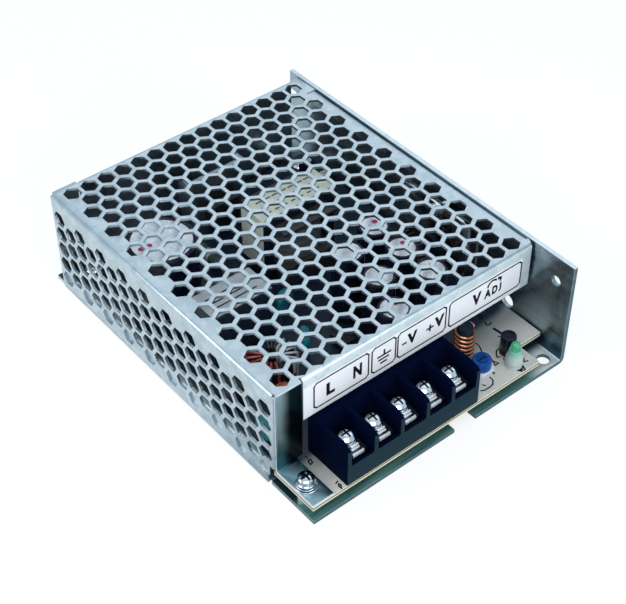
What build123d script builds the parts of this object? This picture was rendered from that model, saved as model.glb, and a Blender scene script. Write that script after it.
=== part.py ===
from build123d import *
import os

# Enclosed switching power supply: a perforated cover over a folded chassis, and between them
# a board with a five way screw terminal block and the parts of an isolated supply.
# Millimetres. X runs along the terminal side to the right, Y runs back from the terminals
# and Z is up. The origin is the middle of the case's outline, on the face that it stands on.

# Case
case_length = 129.0
case_width = 98.0
case_height = 38.0
front_bay = 15.7
rear_ledge = 4.3

# Sheets, their folds and the gap between pieces that are seated with play
chassis_sheet = 1.4
cover_sheet = 0.8
bend_inside = 0.4
relief = 0.7
play = 0.3
thread_play = 0.05

# Sides of the prisms that stand for round pieces away from the joints and the fixing holes
prism_sides = 16

# Cover
cover_drop = 0.35
cover_lift = 0.9
wall_gap = 0.2
label_flange_depth = 15.6
label_flange_end = 0.8
return_width = 9.7
return_gap = 0.4
rear_flange_end = 3.6
side_flange_depth = 5.4
side_flange_front = 3.0
side_flange_back = 9.6
foot_width = 7.2
foot_inset = 0.7
foot_notch = 3.3

# Perforation: hexagons with two flats across each row, in staggered rows
hole_across = 4.95
hole_tall = 5.9
hole_pitch = 6.09
row_pitch = 5.58
hole_margin = 0.9
first_row_back = 4.54
first_hole_left = 5.66
first_side_hole_down = 7.2

# Chassis
upstand_height = 7.6
upstand_front = 19.1
notch_left = 4.0
notch_width = 8.3
notch_depth = 5.0
base_hole_r = 2.1
base_hole_side = 5.0
base_hole_front = 3.7
wall_hole_r = 1.75
wall_hole_front = 6.1
wall_hole_up = 29.3
low_hole_r = 2.4
low_hole_front = 23.5
low_hole_up = 9.0
rear_slot_depth = 2.4

# Screw that holds the cover to the wall
cover_screw_y = 12.0
cover_screw_down = 3.0
cover_screw_r = 1.45
cover_screw_head_r = 2.6
cover_screw_length = 3.6

# Board and what carries it
board_thick = 1.6
standoff_height = 4.0
standoff_across = 5.0
standoff_bore_r = 1.3
standoff_floor = 0.4
board_screw_in = 5.2
board_edge_back = 0.2
board_left = 0.7
board_left_inside = 2.7
board_right = 0.4
board_corner_width = 9.2
board_step_gap = 2.0
board_corner_depth = 8.5
board_back_gap = 0.9
board_hole_r = 1.7
screw_shank_r = 1.25
screw_head_r = 2.6
screw_head_height = 1.9
screw_end = 1.2
foot_screw_x = 3.8
foot_screw_y = 7.0
foot_washer_r = 3.3
foot_washer_thick = 1.3
film_thick = 0.25
film_cut = 4.0

# Terminal block
pole_pitch = 9.5
poles = 5
barrier = 1.5
block_left = 12.6
block_depth = 17.0
block_height = 14.4
block_front_height = 13.0
block_chamfer = 3.3
lip_height = 7.3
lip_thick = 1.2
trench_depth = 1.4
trench_width = 1.6
bay_floor = 6.6
bay_back = 11.4
bay_slope = 3.0
bay_step = 1.6
clamp_back = 7.2
tag_width = 6.8
tag_length = 8.4
tag_thick = 1.2
clamp_side = 6.2
clamp_thick = 1.2
terminal_head_r = 2.9
terminal_head_height = 2.8
terminal_slot = 0.8
terminal_shank_r = 1.7
terminal_shank_length = 7.4
well_half = 2.1
well_depth = 5.8

# Parts in the open bay at the front right, set back from the case's front
trimmer_x = 22.4
trimmer_back = 8.8
trimmer_base = 6.2
trimmer_base_height = 1.2
trimmer_base_cut = 0.8
trimmer_r = 2.9
trimmer_height = 4.5
trimmer_rim = 0.2
rotor_r = 1.6
rotor_depth = 1.4
rotor_slot_width = 0.6
rotor_slot_depth = 0.7
lamp_x = 31.2
lamp_back = 4.2
lamp_r = 1.45
lamp_neck_r = 1.75
lamp_height = 9.2
lamp_holder_r = 2.6
lamp_holder_waist = 3.4
lamp_holder_height = 6.4
small_can_x = 33.3
small_can_back = 9.0
small_can_r = 2.4
small_can_height = 7.2
rod_choke_x = 22.8
rod_choke_back = 16.85
rod_choke_r = 2.4
rod_choke_wire = 0.75
rod_choke_rise = 8.6
rod_choke_height = 11.4

# Leads of the parts on the board
lead_thick = 0.8
lead_pitch = 2.54

# Parts of the input side, some of them set in from the case's left side
bulk_can_in = 17.4
bulk_can_y = 26.7
bulk_can_r = 11.0
bulk_can_height = 25.0
filter_box_x = -25.6
filter_box_y = 0.7
filter_box_length = 22.0
filter_box_width = 12.2
filter_box_height = 19.0
filter_box_edge = 0.6
input_choke_x = -26.7
input_choke_y = -19.4
input_choke_core_r = 7.0
input_choke_bore_r = 3.6
input_choke_core_thick = 6.6
input_choke_wire = 0.9
input_choke_lift = 2.4
winding_gap = 1.4
winding_foot_start = 3.6
winding_foot_end = 6.4
winding_foot_half = 2.0
disc_r = 4.0
disc_thick = 3.0
disc_lift = 1.2
output_disc_x = -7.0
output_disc_y = 0.0
output_disc_turn = 20
choke_disc_x = -12.4
choke_disc_y = -16.8
choke_disc_turn = 60
edge_disc_in = 5.8
edge_disc_y = -37.6
edge_disc_turn = 90
thick_disc = 4.0
varistor_x = -33.0
varistor_y = -31.8
varistor_r = 5.0
thermistor_x = -21.0
thermistor_y = -33.0
thermistor_r = 4.5
fuse_in = 7.6
fuse_y = -19.0
fuse_length = 8.4
fuse_width = 4.2
fuse_height = 8.0
fuse_lift = 0.6
bridge_x = -28.0
bridge_y = 11.2
bridge_length = 14.4
bridge_width = 3.4
bridge_height = 12.0
bridge_pitch = 3.8
bridge_lift = 2.2
sink_x = 2.0
sink_y = 44.4
sink_length = 22.0
sink_thick = 1.6
sink_height = 23.0
sink_fold = 6.0
switch_lift = 4.0
resistor_x = -11.0
resistor_y = 32.0
resistor_r = 2.2
resistor_length = 11.0
resistor_lift = 1.4
resistor_lead_end = 1.2
chip_lift = 0.6
chip_top = 3.6
chip_width = 6.4
chip_leg_reach = 0.9
chip_leg_height = 1.6
control_chip_x = -9.0
control_chip_y = -36.0
control_chip_length = 9.6
optocoupler_x = -2.0
optocoupler_y = -22.0
optocoupler_length = 4.8

# Transformer
transformer_x = 10.5
transformer_y = 19.2
core_length = 28.0
core_width = 11.4
core_top = 25.0
core_foot = 2.4
core_leg = 3.6
centre_leg_r = 4.8
winding_r = 10.0
winding_play = 0.3
bobbin_wall = 1.0
bobbin_width = 22.0
tape_thick = 0.2

# Parts of the output side
output_can_r = 5.0
output_can_height = 25.0
output_row_x = 21.2
output_row_back = 56.1
output_row_pitch = 12.6
second_row_left = 13.5
second_row_front = 4.0
second_row_pitch = 13.8
last_can_left = 5.6
last_can_front = 12.8
small_row_x = 37.4
small_row_y = 43.6
small_row_pitch = 9.4
small_row_r = 2.5
small_row_height = 11.0
device_length = 10.0
device_thick = 4.4
device_height = 15.6
device_body_share = 0.62
device_tab_share = 0.3
device_lift = 6.0
device_gap = 16.0
device_row_y = -21.6
pad_thick = 0.3
clamp_length = 29.0
clamp_bar_thick = 1.5
clamp_bar_height = 15.0
clamp_bar_down = 4.05
clamp_screw_r = 1.4
clamp_screw_down = 3.0
clamp_head_r = 2.4
clamp_head_thick = 1.8
output_choke_x = 33.0
output_choke_y = -10.4
output_choke_r = 7.0
output_choke_bore_r = 3.4
output_choke_thick = 5.4
output_choke_wire = 1.0

# Levels and faces that several pieces share
case_front = -case_length / 2
case_back = case_length / 2
case_left = -case_width / 2
wall_inside = case_width / 2 - chassis_sheet
cover_top = case_height - cover_drop
cover_under = cover_top - cover_sheet
cover_front = case_front + front_bay
cover_back = case_back - rear_ledge
cover_right = wall_inside - wall_gap
chassis_left = case_left + cover_sheet
cover_bend = bend_inside + cover_sheet
chassis_bend = bend_inside + chassis_sheet
board_under = chassis_sheet + standoff_height
board_top = board_under + board_thick
return_end = case_left + return_width
label_bottom = cover_top - label_flange_depth
cover_screw_up = cover_top - cover_screw_down
foot_top = board_top + cover_sheet
clamp_bar_top = cover_top - clamp_bar_down
clamp_screw_up = clamp_bar_top - clamp_screw_down
trimmer_y = case_front + trimmer_back
lamp_y = case_front + lamp_back
small_can_y = case_front + small_can_back
rod_choke_y = case_front + rod_choke_back
output_row_y = case_front + output_row_back
bulk_can_x = case_left + bulk_can_in
fuse_x = case_left + fuse_in


def along_x(section, start, end):
    """Solid of a section drawn in Y and Z, from one X to another."""
    return Pos(start, 0, 0) * extrude(Plane.YZ * section, end - start)


def along_y(section, start, end):
    """Solid of a section drawn in X and Z, from one Y to another."""
    return Pos(0, end, 0) * extrude(Plane.XZ * section, end - start)


def along_z(section, start, end):
    """Solid of a section drawn in X and Y, from one Z to another."""
    return Pos(0, 0, start) * extrude(section, end - start)


def block(x_span, y_span, z_span):
    """Box between two X values, two Y values and two Z values."""
    corner = (x_span[0], y_span[0], z_span[0])
    size = (x_span[1] - x_span[0], y_span[1] - y_span[0], z_span[1] - z_span[0])
    return Pos(*corner) * Box(*size, align=Align.MIN)


def rod(x, y, radius, z_span):
    """Upright cylinder at a place on the board, between two Z values."""
    height = z_span[1] - z_span[0]
    upright = (Align.CENTER, Align.CENTER, Align.MIN)
    return Pos(x, y, z_span[0]) * Cylinder(radius, height, align=upright)


def prism(x, y, radius, z_span):
    """Upright many sided rod at a place on the board, between two Z values."""
    return Pos(x, y, 0) * along_z(RegularPolygon(radius, prism_sides), *z_span)


def outline(*points):
    """Flat face inside a closed run of straight edges."""
    return make_face(Polyline(*points, close=True))


def rounded(face, radius, *corners):
    """The face with the corners nearest the given points rounded."""
    for corner in corners:
        nearest = face.vertices().sort_by_distance((*corner, 0))[0]
        face = fillet(nearest, radius)
    return face


def folded(sheet, *corners):
    """Section of a folded sheet, with its outer face along the corners and its metal on their right."""
    points = [Vector(*corner) for corner in corners]
    runs = [(end - start).normalized() for start, end in zip(points, points[1:])]
    inward = [Vector(run.Y, -run.X) * sheet for run in runs]
    bends = [point + first + second for point, first, second in zip(points[1:], inward, inward[1:])]
    inner = [points[0] + inward[0], *bends, points[-1] + inward[-1]]
    face = outline(*points, *reversed(inner))
    for outer_corner, inner_corner in zip(points[1:-1], bends):
        face = rounded(face, bend_inside + sheet, (outer_corner.X, outer_corner.Y))
        face = rounded(face, bend_inside, (inner_corner.X, inner_corner.Y))
    return face


def hole_count(length, first, pitch, reach):
    """How many holes fit along a length, from the middle of the first, each with its reach."""
    return int((length - first - reach - hole_margin) / pitch) + 1


def row_places(count, row):
    """Steps of the holes along one row, where every second row is set over by half a pitch."""
    shift = 0.5 * (row % 2)
    return [hole_pitch * (step + shift) for step in range(count - row % 2)]


def hexagon(across, tall):
    """Stretched hexagon with two flats facing X and two points facing Y."""
    half = across / 2
    corners = [(0, tall / 2), (half, tall / 4), (half, -tall / 4)]
    return outline(*corners, *[(-x, -y) for x, y in corners])


def perforation():
    """Cutters for the staggered hexagons of the top and of the left side."""
    cell = hexagon(hole_across, hole_tall)
    deep = 3 * cover_sheet
    down = Pos(0, 0, cover_top - 2 * cover_sheet) * extrude(cell, deep)
    sideways = Pos(case_left - cover_sheet, 0, 0) * extrude(Plane.YZ * Rot(0, 0, 90) * cell, deep)
    rows = hole_count(cover_back - cover_front, first_row_back, row_pitch, hole_tall / 2)
    in_row = hole_count(case_width, first_hole_left, hole_pitch, hole_across / 2)
    side = cover_top - cover_lift
    in_side = hole_count(side, first_side_hole_down, hole_pitch, hole_across / 2)
    first_x = case_left + first_hole_left
    first_z = cover_top - first_side_hole_down
    cutters = []
    for row in range(rows):
        y = cover_back - first_row_back - row_pitch * row
        cutters += [Pos(first_x + step, y, 0) * down for step in row_places(in_row, row)]
        cutters += [Pos(0, y, first_z - step) * sideways for step in row_places(in_side, row)]
    return cutters


def build_cover():
    """Perforated cover, folded from one sheet: top, left side, label flange, returns and foot."""
    overlap = 3 * cover_bend
    y_span = (cover_front + cover_bend, cover_back - cover_bend)
    run = folded(cover_sheet, (case_left, cover_lift), (case_left, cover_top), (0, cover_top))
    cover = along_y(run, *y_span)
    side_span = (cover_front + side_flange_front, cover_back - side_flange_back)
    top_sheet = (cover_under, cover_top)
    cover += block((-1, cover_right - overlap), y_span, top_sheet)
    side = folded(
        cover_sheet,
        (cover_right - overlap, cover_top),
        (cover_right, cover_top),
        (cover_right, cover_top - side_flange_depth),
    )
    cover += along_y(side, *side_span)
    front_corner = outline(
        (0, cover_front + relief),
        (cover_right - relief, cover_front + relief),
        (cover_right, cover_front + 3 * relief),
        (cover_right, side_span[0] - relief / 2),
        (0, side_span[0] - relief / 2),
    )
    cover += along_z(front_corner, *top_sheet)
    cover += block((0, wall_inside), (side_span[1] + relief / 2, y_span[1]), top_sheet)
    cover += along_x(
        folded(
            cover_sheet,
            (cover_front, label_bottom),
            (cover_front, cover_top),
            (cover_front + overlap, cover_top),
        ),
        return_end + return_gap,
        cover_right - label_flange_end,
    )
    cover += along_x(
        folded(
            cover_sheet,
            (cover_back - overlap, cover_top),
            (cover_back, cover_top),
            (cover_back, chassis_sheet + play),
        ),
        return_end + return_gap,
        wall_inside - rear_flange_end,
    )
    flat_span = (case_left + cover_bend, return_end + return_gap - relief)
    cover += block(flat_span, (cover_front, cover_front + overlap), top_sheet)
    cover += block(flat_span, (cover_back - overlap, cover_back), top_sheet)
    cover += block(
        (wall_inside - rear_flange_end + relief, wall_inside), (cover_back - overlap, cover_back), top_sheet
    )
    front_return = folded(
        cover_sheet, (return_end, cover_front), (case_left, cover_front), (case_left, cover_front + overlap)
    )
    rear_return = folded(
        cover_sheet, (case_left, cover_back - overlap), (case_left, cover_back), (return_end, cover_back)
    )
    cover += along_z(front_return, foot_top + relief, cover_under - play / 3)
    cover += along_z(rear_return, chassis_sheet + play, cover_under - play / 3)
    cover -= block(
        (case_left - 1, case_left + overlap),
        (cover_front - 1, cover_front + foot_notch),
        (0, foot_top + relief),
    )
    cover += build_foot()
    bore = Rot(0, 90, 0) * Cylinder(cover_screw_r + thread_play, 3 * cover_sheet)
    cover -= Pos(cover_right, cover_screw_y, cover_screw_up) * bore
    return cover - perforation()


def build_foot():
    """Foot of the front return, bent forward to lie on the board's corner."""
    back_face = cover_front + cover_sheet
    tip = case_front + board_edge_back
    section = folded(
        cover_sheet, (back_face, foot_top + 2 * relief), (back_face, board_top), (tip, board_top)
    )
    start = case_left + foot_inset
    foot = along_x(section, start, start + foot_width)
    return foot - prism(*foot_screw_place(), board_hole_r, (board_under, foot_top + 1))


def build_chassis():
    """Folded chassis: bottom, full height right wall and low left upstand, with its fixing holes."""
    wall = folded(
        chassis_sheet, (case_width / 2, case_height), (case_width / 2, 0), (chassis_left + chassis_bend, 0)
    )
    chassis = along_y(wall, case_front, case_back)
    upstand = folded(
        chassis_sheet,
        (chassis_left + 2 * chassis_bend, 0),
        (chassis_left, 0),
        (chassis_left, upstand_height),
    )
    upstand_start = case_front + upstand_front
    upstand_end = cover_back - cover_bend - play
    chassis += along_y(upstand, upstand_start, upstand_end)
    edge = (chassis_left, chassis_left + 2 * chassis_bend)
    chassis += block(edge, (case_front, upstand_start - relief), (0, chassis_sheet))
    chassis += block(edge, (upstand_end + relief, case_back), (0, chassis_sheet))
    through = (-1, chassis_sheet + 1)
    chassis -= block(
        (notch_left, notch_left + notch_width), (case_front - 1, case_front + notch_depth), through
    )
    chassis -= rod(case_width / 2 - base_hole_side, case_front + base_hole_front, base_hole_r, through)
    wall_holes = [
        (wall_hole_r, wall_hole_front, wall_hole_up),
        (low_hole_r, low_hole_front, low_hole_up),
    ]
    for radius, from_front, up in wall_holes:
        cutter = Rot(0, 90, 0) * Cylinder(radius, 4 * chassis_sheet)
        chassis -= Pos(wall_inside, case_front + from_front, up) * cutter
    chassis -= Pos(case_width / 2 - base_hole_side, case_back, 0) * rear_slot(base_hole_r)
    chassis -= Pos(case_width / 2, case_back, wall_hole_up) * Rot(0, 90, 0) * rear_slot(wall_hole_r)
    chassis -= Pos(0, cover_screw_y, cover_screw_up) * countersunk(thread_play)
    return chassis - clamp_bore()


def rear_slot(radius):
    """Cutter for a screw slot, open to the rear, with its mouth at the origin."""
    deep = 2 * chassis_sheet
    slot = block((-radius, radius), (-rear_slot_depth, 1), (-deep, deep))
    return slot + rod(0, -rear_slot_depth, radius, (-deep, deep))


def countersunk(spare):
    """Countersunk screw through the wall into the cover's flange, grown by some spare radius."""
    outside = case_width / 2
    cone_depth = cover_screw_head_r - cover_screw_r
    profile = outline(
        (0, outside),
        (cover_screw_head_r + spare, outside),
        (cover_screw_r + spare, outside - cone_depth),
        (cover_screw_r + spare, outside - cover_screw_length),
        (0, outside - cover_screw_length),
    )
    return Rot(0, 90, 0) * revolve(Plane.XZ * profile, Axis.Z)


def foot_screw_place():
    """X and Y of the screw that holds the foot and the board's front left corner."""
    return case_left + foot_screw_x, case_front + foot_screw_y


def board_screw_places():
    """X and Y of the board's other screws."""
    rear = board_back() - board_screw_in
    left = case_left + board_left_inside + board_screw_in
    right = wall_inside - board_right - board_screw_in
    return [(left, rear), (right, rear)]


def board_back():
    """Y of the board's rear edge."""
    return cover_back - cover_sheet - board_back_gap


def build_standoffs():
    """Hexagonal standoffs pressed into the chassis."""
    places = [foot_screw_place(), *board_screw_places()]
    hexagon_face = RegularPolygon(standoff_across / 2, 6, major_radius=False)
    body = along_z(hexagon_face, chassis_sheet, board_under)
    body -= prism(0, 0, standoff_bore_r, (chassis_sheet + standoff_floor, board_under))
    return [Pos(x, y, 0) * body for x, y in places]


def pan_screw(x, y, seat):
    """Screw with its head seated at a level and its shank down in a standoff."""
    head = prism(x, y, screw_head_r, (seat, seat + screw_head_height))
    return head + prism(x, y, screw_shank_r, (chassis_sheet + screw_end, seat))


def build_board_screws():
    """Screws that hold the board to its standoffs."""
    return [pan_screw(x, y, board_top) for x, y in board_screw_places()]


def build_foot_washer():
    """Washer under the head of the foot's screw."""
    x, y = foot_screw_place()
    washer = prism(x, y, foot_washer_r, (foot_top, foot_top + foot_washer_thick))
    return washer - prism(x, y, board_hole_r, (foot_top - 1, foot_top + 3))


def build_board():
    """Circuit board, wider in the open bay at the left and cut back at the front right."""
    left, inside = case_left + board_left, case_left + board_left_inside
    front, back = case_front + board_edge_back, board_back()
    corner = front + board_corner_depth
    step = case_front + upstand_front - board_step_gap
    right = wall_inside - board_right
    shape = outline(
        (left, front),
        (right - board_corner_width, front),
        (right - board_corner_width, corner),
        (right, corner),
        (right, back),
        (inside, back),
        (inside, step),
        (left, step),
    )
    board = along_z(shape, board_under, board_top)
    for x, y in [foot_screw_place(), *board_screw_places()]:
        board -= prism(x, y, board_hole_r, (board_under - 1, board_top + 1))
    return board


def build_film():
    """Insulating film between the chassis and the board, cut out round the standoffs."""
    x_span = (case_left + board_left_inside, wall_inside - 1)
    y_span = (case_front + upstand_front, board_back())
    film = block(x_span, y_span, (chassis_sheet, chassis_sheet + film_thick))
    for x, y in board_screw_places():
        around = ((x - film_cut, x + film_cut), (y - film_cut, y + film_cut))
        film -= block(*around, (0, board_under))
    return film


def pole_places():
    """X of the middle of each terminal."""
    first = block_x()[0] + barrier / 2 + pole_pitch / 2
    return [first + pole_pitch * pole for pole in range(poles)]


def block_x():
    """X of the terminal block's two ends."""
    start = case_left + block_left
    return start, start + pole_pitch * poles + barrier


def clamp_y():
    """Y of the terminal screws."""
    return case_front + clamp_back


def build_terminal_block():
    """Moulded body of the terminal block, with barriers between open bays and a well for each screw."""
    front, back = case_front, case_front + block_depth
    low, top = board_top, board_top + block_height
    body = outline(
        (front, low),
        (front, low + block_front_height),
        (front + block_chamfer, top),
        (back, top),
        (back, low),
    )
    moulding = along_x(body, *block_x())
    floor = board_top + bay_floor
    inner = front + lip_thick
    bay = outline(
        (front - 1, low + lip_height),
        (inner, low + lip_height),
        (inner, floor - trench_depth),
        (inner + trench_width, floor - trench_depth),
        (inner + trench_width, floor),
        (front + bay_back, floor),
        (front + bay_back, floor + bay_step),
        (front + bay_back + bay_slope, top + 1),
        (front - 1, top + 1),
    )
    half = (pole_pitch - barrier) / 2
    for x in pole_places():
        moulding -= along_x(bay, x - half, x + half)
        y_span = (clamp_y() - well_half, clamp_y() + well_half)
        moulding -= block((x - well_half, x + well_half), y_span, (floor - well_depth, floor + 1))
    return moulding


def build_terminal_tags():
    """Metal tags on the floors of the bays, which the screws are threaded into."""
    floor = board_top + bay_floor
    end = case_front + bay_back - play
    tags = []
    for x in pole_places():
        x_span = (x - tag_width / 2, x + tag_width / 2)
        tag = block(x_span, (end - tag_length, end), (floor, floor + tag_thick))
        bore_r = terminal_shank_r + 2 * thread_play
        tags.append(tag - prism(x, clamp_y(), bore_r, (floor - 1, floor + 3)))
    return tags


def build_terminal_clamp(x):
    """Square wire clamp held captive on a terminal screw."""
    seat = board_top + bay_floor + tag_thick
    half = clamp_side / 2
    y = clamp_y()
    clamp = block((x - half, x + half), (y - half, y + half), (seat, seat + clamp_thick))
    return clamp - rod(x, y, terminal_shank_r + thread_play, (seat - 1, seat + 3))


def build_terminal_screw(x):
    """Terminal screw with a slotted head, above its clamp."""
    seat = board_top + bay_floor + tag_thick + clamp_thick
    y = clamp_y()
    head = prism(x, y, terminal_head_r, (seat, seat + terminal_head_height))
    half = terminal_slot / 2
    reach = terminal_head_r
    slot_floor = seat + terminal_head_height / 2
    slot = block((x - reach, x + reach), (y - half, y + half), (slot_floor, seat + 5))
    shank = rod(x, y, terminal_shank_r, (seat - terminal_shank_length, seat))
    return head - slot + shank


def build_trimmer_base():
    """White square base of the trimmer, with cut corners."""
    half = trimmer_base / 2
    x_span = (trimmer_x - half, trimmer_x + half)
    y_span = (trimmer_y - half, trimmer_y + half)
    base = block(x_span, y_span, (board_top, board_top + trimmer_base_height))
    return chamfer(base.edges().filter_by(Axis.Z), trimmer_base_cut)


def build_trimmer_body():
    """Blue round body of the trimmer, with a seat for its rotor."""
    top = board_top + trimmer_height
    body = rod(trimmer_x, trimmer_y, trimmer_r, (board_top + trimmer_base_height, top))
    return body - rod(trimmer_x, trimmer_y, rotor_r + thread_play, (top - rotor_depth, top + 1))


def build_trimmer_rotor():
    """Turning disc of the trimmer, with a driver slot across it."""
    low = board_top + trimmer_height - rotor_depth
    top = board_top + trimmer_height + trimmer_rim
    rotor = rod(trimmer_x, trimmer_y, rotor_r, (low, top))
    half = rotor_slot_width / 2
    x_span = (trimmer_x - rotor_r, trimmer_x + rotor_r)
    slot = block(x_span, (trimmer_y - half, trimmer_y + half), (top - rotor_slot_depth, top + 1))
    return rotor - slot


def build_lamp_holder():
    """Holder that stands the lamp off the board, tapered up to the lamp."""
    waist, top = board_top + lamp_holder_waist, board_top + lamp_holder_height
    foot = prism(lamp_x, lamp_y, lamp_holder_r, (board_top, waist))
    below = Pos(lamp_x, lamp_y, waist) * RegularPolygon(lamp_holder_r, prism_sides)
    above = Pos(lamp_x, lamp_y, top) * RegularPolygon(lamp_neck_r, prism_sides)
    return foot + loft([below.face(), above.face()])


def build_lamp():
    """Lamp with a tapered lens on its holder."""
    z_span = (board_top + lamp_holder_height, board_top + lamp_height)
    lamp = prism(lamp_x, lamp_y, lamp_r, z_span)
    return chamfer(lamp.edges().group_by(Axis.Z)[-1], lamp_r / 2)


def can(x, y, radius, height):
    """Electrolytic capacitor on the board."""
    return prism(x, y, radius, (board_top, board_top + height))


def build_bulk_can():
    """Input electrolytic, with the rolled edge of its sleeve."""
    body = rod(bulk_can_x, bulk_can_y, bulk_can_r, (board_top, board_top + bulk_can_height))
    return chamfer(body.edges().group_by(Axis.Z)[-1], bulk_can_r / 12)


def build_output_cans():
    """Six output electrolytics: a row of three, two beside them and one at the front."""
    places = [(output_row_x, output_row_y - output_row_pitch * step) for step in range(3)]
    beside = output_row_x - second_row_left
    start = output_row_y - second_row_front
    places += [(beside, start), (beside, start - second_row_pitch)]
    places.append((beside - last_can_left, start - second_row_pitch - last_can_front))
    return [can(x, y, output_can_r, output_can_height) for x, y in places]


def build_small_cans():
    """Small electrolytics along the rear edge of the board."""
    places = [small_row_y - small_row_pitch * step for step in range(2)]
    return [can(small_row_x, y, small_row_r, small_row_height) for y in places]


def build_transformer_core():
    """Two E shaped ferrite halves, back to back, standing on the bobbin's feet."""
    half, wide = core_length / 2, core_width / 2
    low, top = board_top + core_foot, board_top + core_top
    core = block((-half, half), (-wide, wide), (low, top))
    window_x = (core_leg - half, half - core_leg)
    core -= block(window_x, (-core_width, core_width), window_span())
    core += prism(0, 0, centre_leg_r, window_span())
    return Pos(transformer_x, transformer_y, 0) * core


def window_span():
    """Z values of the transformer's window."""
    return board_top + core_foot + core_leg, board_top + core_top - core_leg


def build_transformer_bobbin():
    """Bobbin round the centre leg, with two flanges and two feet that stand on the board."""
    low, top = window_span()
    half = core_length / 2 - core_leg - winding_play
    deep = bobbin_width / 2
    tube_r = centre_leg_r + winding_play
    bobbin = prism(0, 0, tube_r + bobbin_wall, (low, top))
    for start in (low, top - bobbin_wall):
        bobbin += block((-half, half), (-deep, deep), (start, start + bobbin_wall))
    for side in (-1, 1):
        y_span = sorted((side * deep, side * (core_width / 2 + winding_play)))
        bobbin += block((-half, half), y_span, (board_top, low + bobbin_wall))
    bobbin -= prism(0, 0, tube_r, (low - 1, top + 1))
    return Pos(transformer_x, transformer_y, 0) * bobbin


def build_transformer_winding():
    """Taped windings between the bobbin's flanges."""
    low, top = window_span()
    span = (low + bobbin_wall + play, top - bobbin_wall - play)
    inner = centre_leg_r + 2 * winding_play + bobbin_wall
    winding = prism(0, 0, winding_r, span) - prism(0, 0, inner, (low, top))
    return Pos(transformer_x, transformer_y, 0) * winding


def build_transformer_tape():
    """Strip of tape over the top of the core and down its two ends."""
    half = core_length / 2
    low, top = board_top + core_foot + core_leg, board_top + core_top
    loop = outline(
        (-half - tape_thick, low),
        (-half - tape_thick, top + tape_thick),
        (half + tape_thick, top + tape_thick),
        (half + tape_thick, low),
        (half, low),
        (half, top),
        (-half, top),
        (-half, low),
    )
    wide = core_width / 2 - play
    return Pos(transformer_x, transformer_y, 0) * along_y(loop, -wide, wide)


def ring(outer, inner, thick):
    """Flat ring, from Z zero up."""
    return prism(0, 0, outer, (0, thick)) - prism(0, 0, inner, (-1, thick + 1))


def build_input_choke_core():
    """Toroid of the input choke, lying flat."""
    core = ring(input_choke_core_r, input_choke_bore_r, input_choke_core_thick)
    return Pos(input_choke_x, input_choke_y, board_top + input_choke_lift) * core


def build_input_choke_windings():
    """Two windings of the input choke, one on each half of its core, on short feet."""
    wire, spare = input_choke_wire, thread_play
    thick = input_choke_core_thick
    outer = ring(input_choke_core_r + wire, input_choke_bore_r - wire, thick + 2 * wire)
    hollow = Pos(0, 0, wire - spare) * ring(
        input_choke_core_r + spare, input_choke_bore_r - spare, thick + 2 * spare
    )
    shell = outer - hollow
    reach = input_choke_core_r + 2 * wire
    windings = []
    for side in (-1, 1):
        x_span = sorted((side * winding_gap, side * reach))
        winding = shell & block(x_span, (-reach, reach), (-1, thick + 3))
        foot = sorted((side * winding_foot_start, side * winding_foot_end))
        y_span = (-winding_foot_half, winding_foot_half)
        winding += block(foot, y_span, (wire - input_choke_lift, wire / 2))
        windings.append(Pos(input_choke_x, input_choke_y, board_top + input_choke_lift - wire) * winding)
    return windings


def upright_lead(x, y, height):
    """Square lead from the board's top, which is its Z zero, up to a height."""
    half = lead_thick / 2
    return block((x - half, x + half), (y - half, y + half), (0, height))


def standing_disc(x, y, radius, thick, turn):
    """Disc part on two short leads, turned about its upright axis."""
    centre = disc_lift + radius
    disc = Pos(0, 0, centre) * Rot(90, 0, 0) * prism(0, 0, radius, (-thick / 2, thick / 2))
    for side in (-1, 1):
        disc += upright_lead(side * radius / 2, 0, centre / 2)
    return Pos(x, y, board_top) * Rot(0, 0, turn) * disc


def build_safety_discs():
    """Three disc capacitors between the input side and the chassis."""
    places = [
        (output_disc_x, output_disc_y, output_disc_turn),
        (choke_disc_x, choke_disc_y, choke_disc_turn),
        (case_left + edge_disc_in, edge_disc_y, edge_disc_turn),
    ]
    return [standing_disc(x, y, disc_r, disc_thick, turn) for x, y, turn in places]


def build_varistor():
    """Surge varistor beside the input choke."""
    return standing_disc(varistor_x, varistor_y, varistor_r, thick_disc, 0)


def build_thermistor():
    """Inrush thermistor, in line with the varistor."""
    return standing_disc(thermistor_x, thermistor_y, thermistor_r, thick_disc, 0)


def build_fuse():
    """Moulded fuse on two short leads, along the left edge of the board."""
    half, wide = fuse_length / 2, fuse_width / 2
    body = block((-wide, wide), (-half, half), (fuse_lift, fuse_height))
    for side in (-1, 1):
        body += upright_lead(0, side * half / 2, fuse_lift)
    return Pos(fuse_x, fuse_y, board_top) * body


def build_bridge():
    """Flat bridge rectifier standing on its leads."""
    half, wide = bridge_length / 2, bridge_width / 2
    body = block((-half, half), (-wide, wide), (bridge_lift, bridge_height))
    corner = body.edges().filter_by(Axis.Y).group_by(Axis.Z)[-1].sort_by(Axis.X)[-1]
    body = chamfer(corner, bridge_lift)
    for step in range(4):
        body += upright_lead(bridge_pitch * (step - 1.5), 0, bridge_lift)
    return Pos(bridge_x, bridge_y, board_top) * body


def build_filter_box():
    """Boxed film capacitor across the mains."""
    half, wide = filter_box_length / 2, filter_box_width / 2
    body = block((-half, half), (-wide, wide), (0, filter_box_height))
    body = chamfer(body.edges().group_by(Axis.Z)[-1], filter_box_edge)
    return Pos(filter_box_x, filter_box_y, board_top) * body


def device(length, thick, height, lift):
    """Transistor case on three leads, with its tab behind it in the middle of the case's X."""
    half = length / 2
    body = block((-half, half), (-thick, 0), (lift, lift + height * device_body_share))
    body += block((-half, half), (-thick * device_tab_share, 0), (lift, lift + height))
    for step in (-1, 0, 1):
        body += upright_lead(lead_pitch * step, -thick / 2, lift)
    return body


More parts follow.
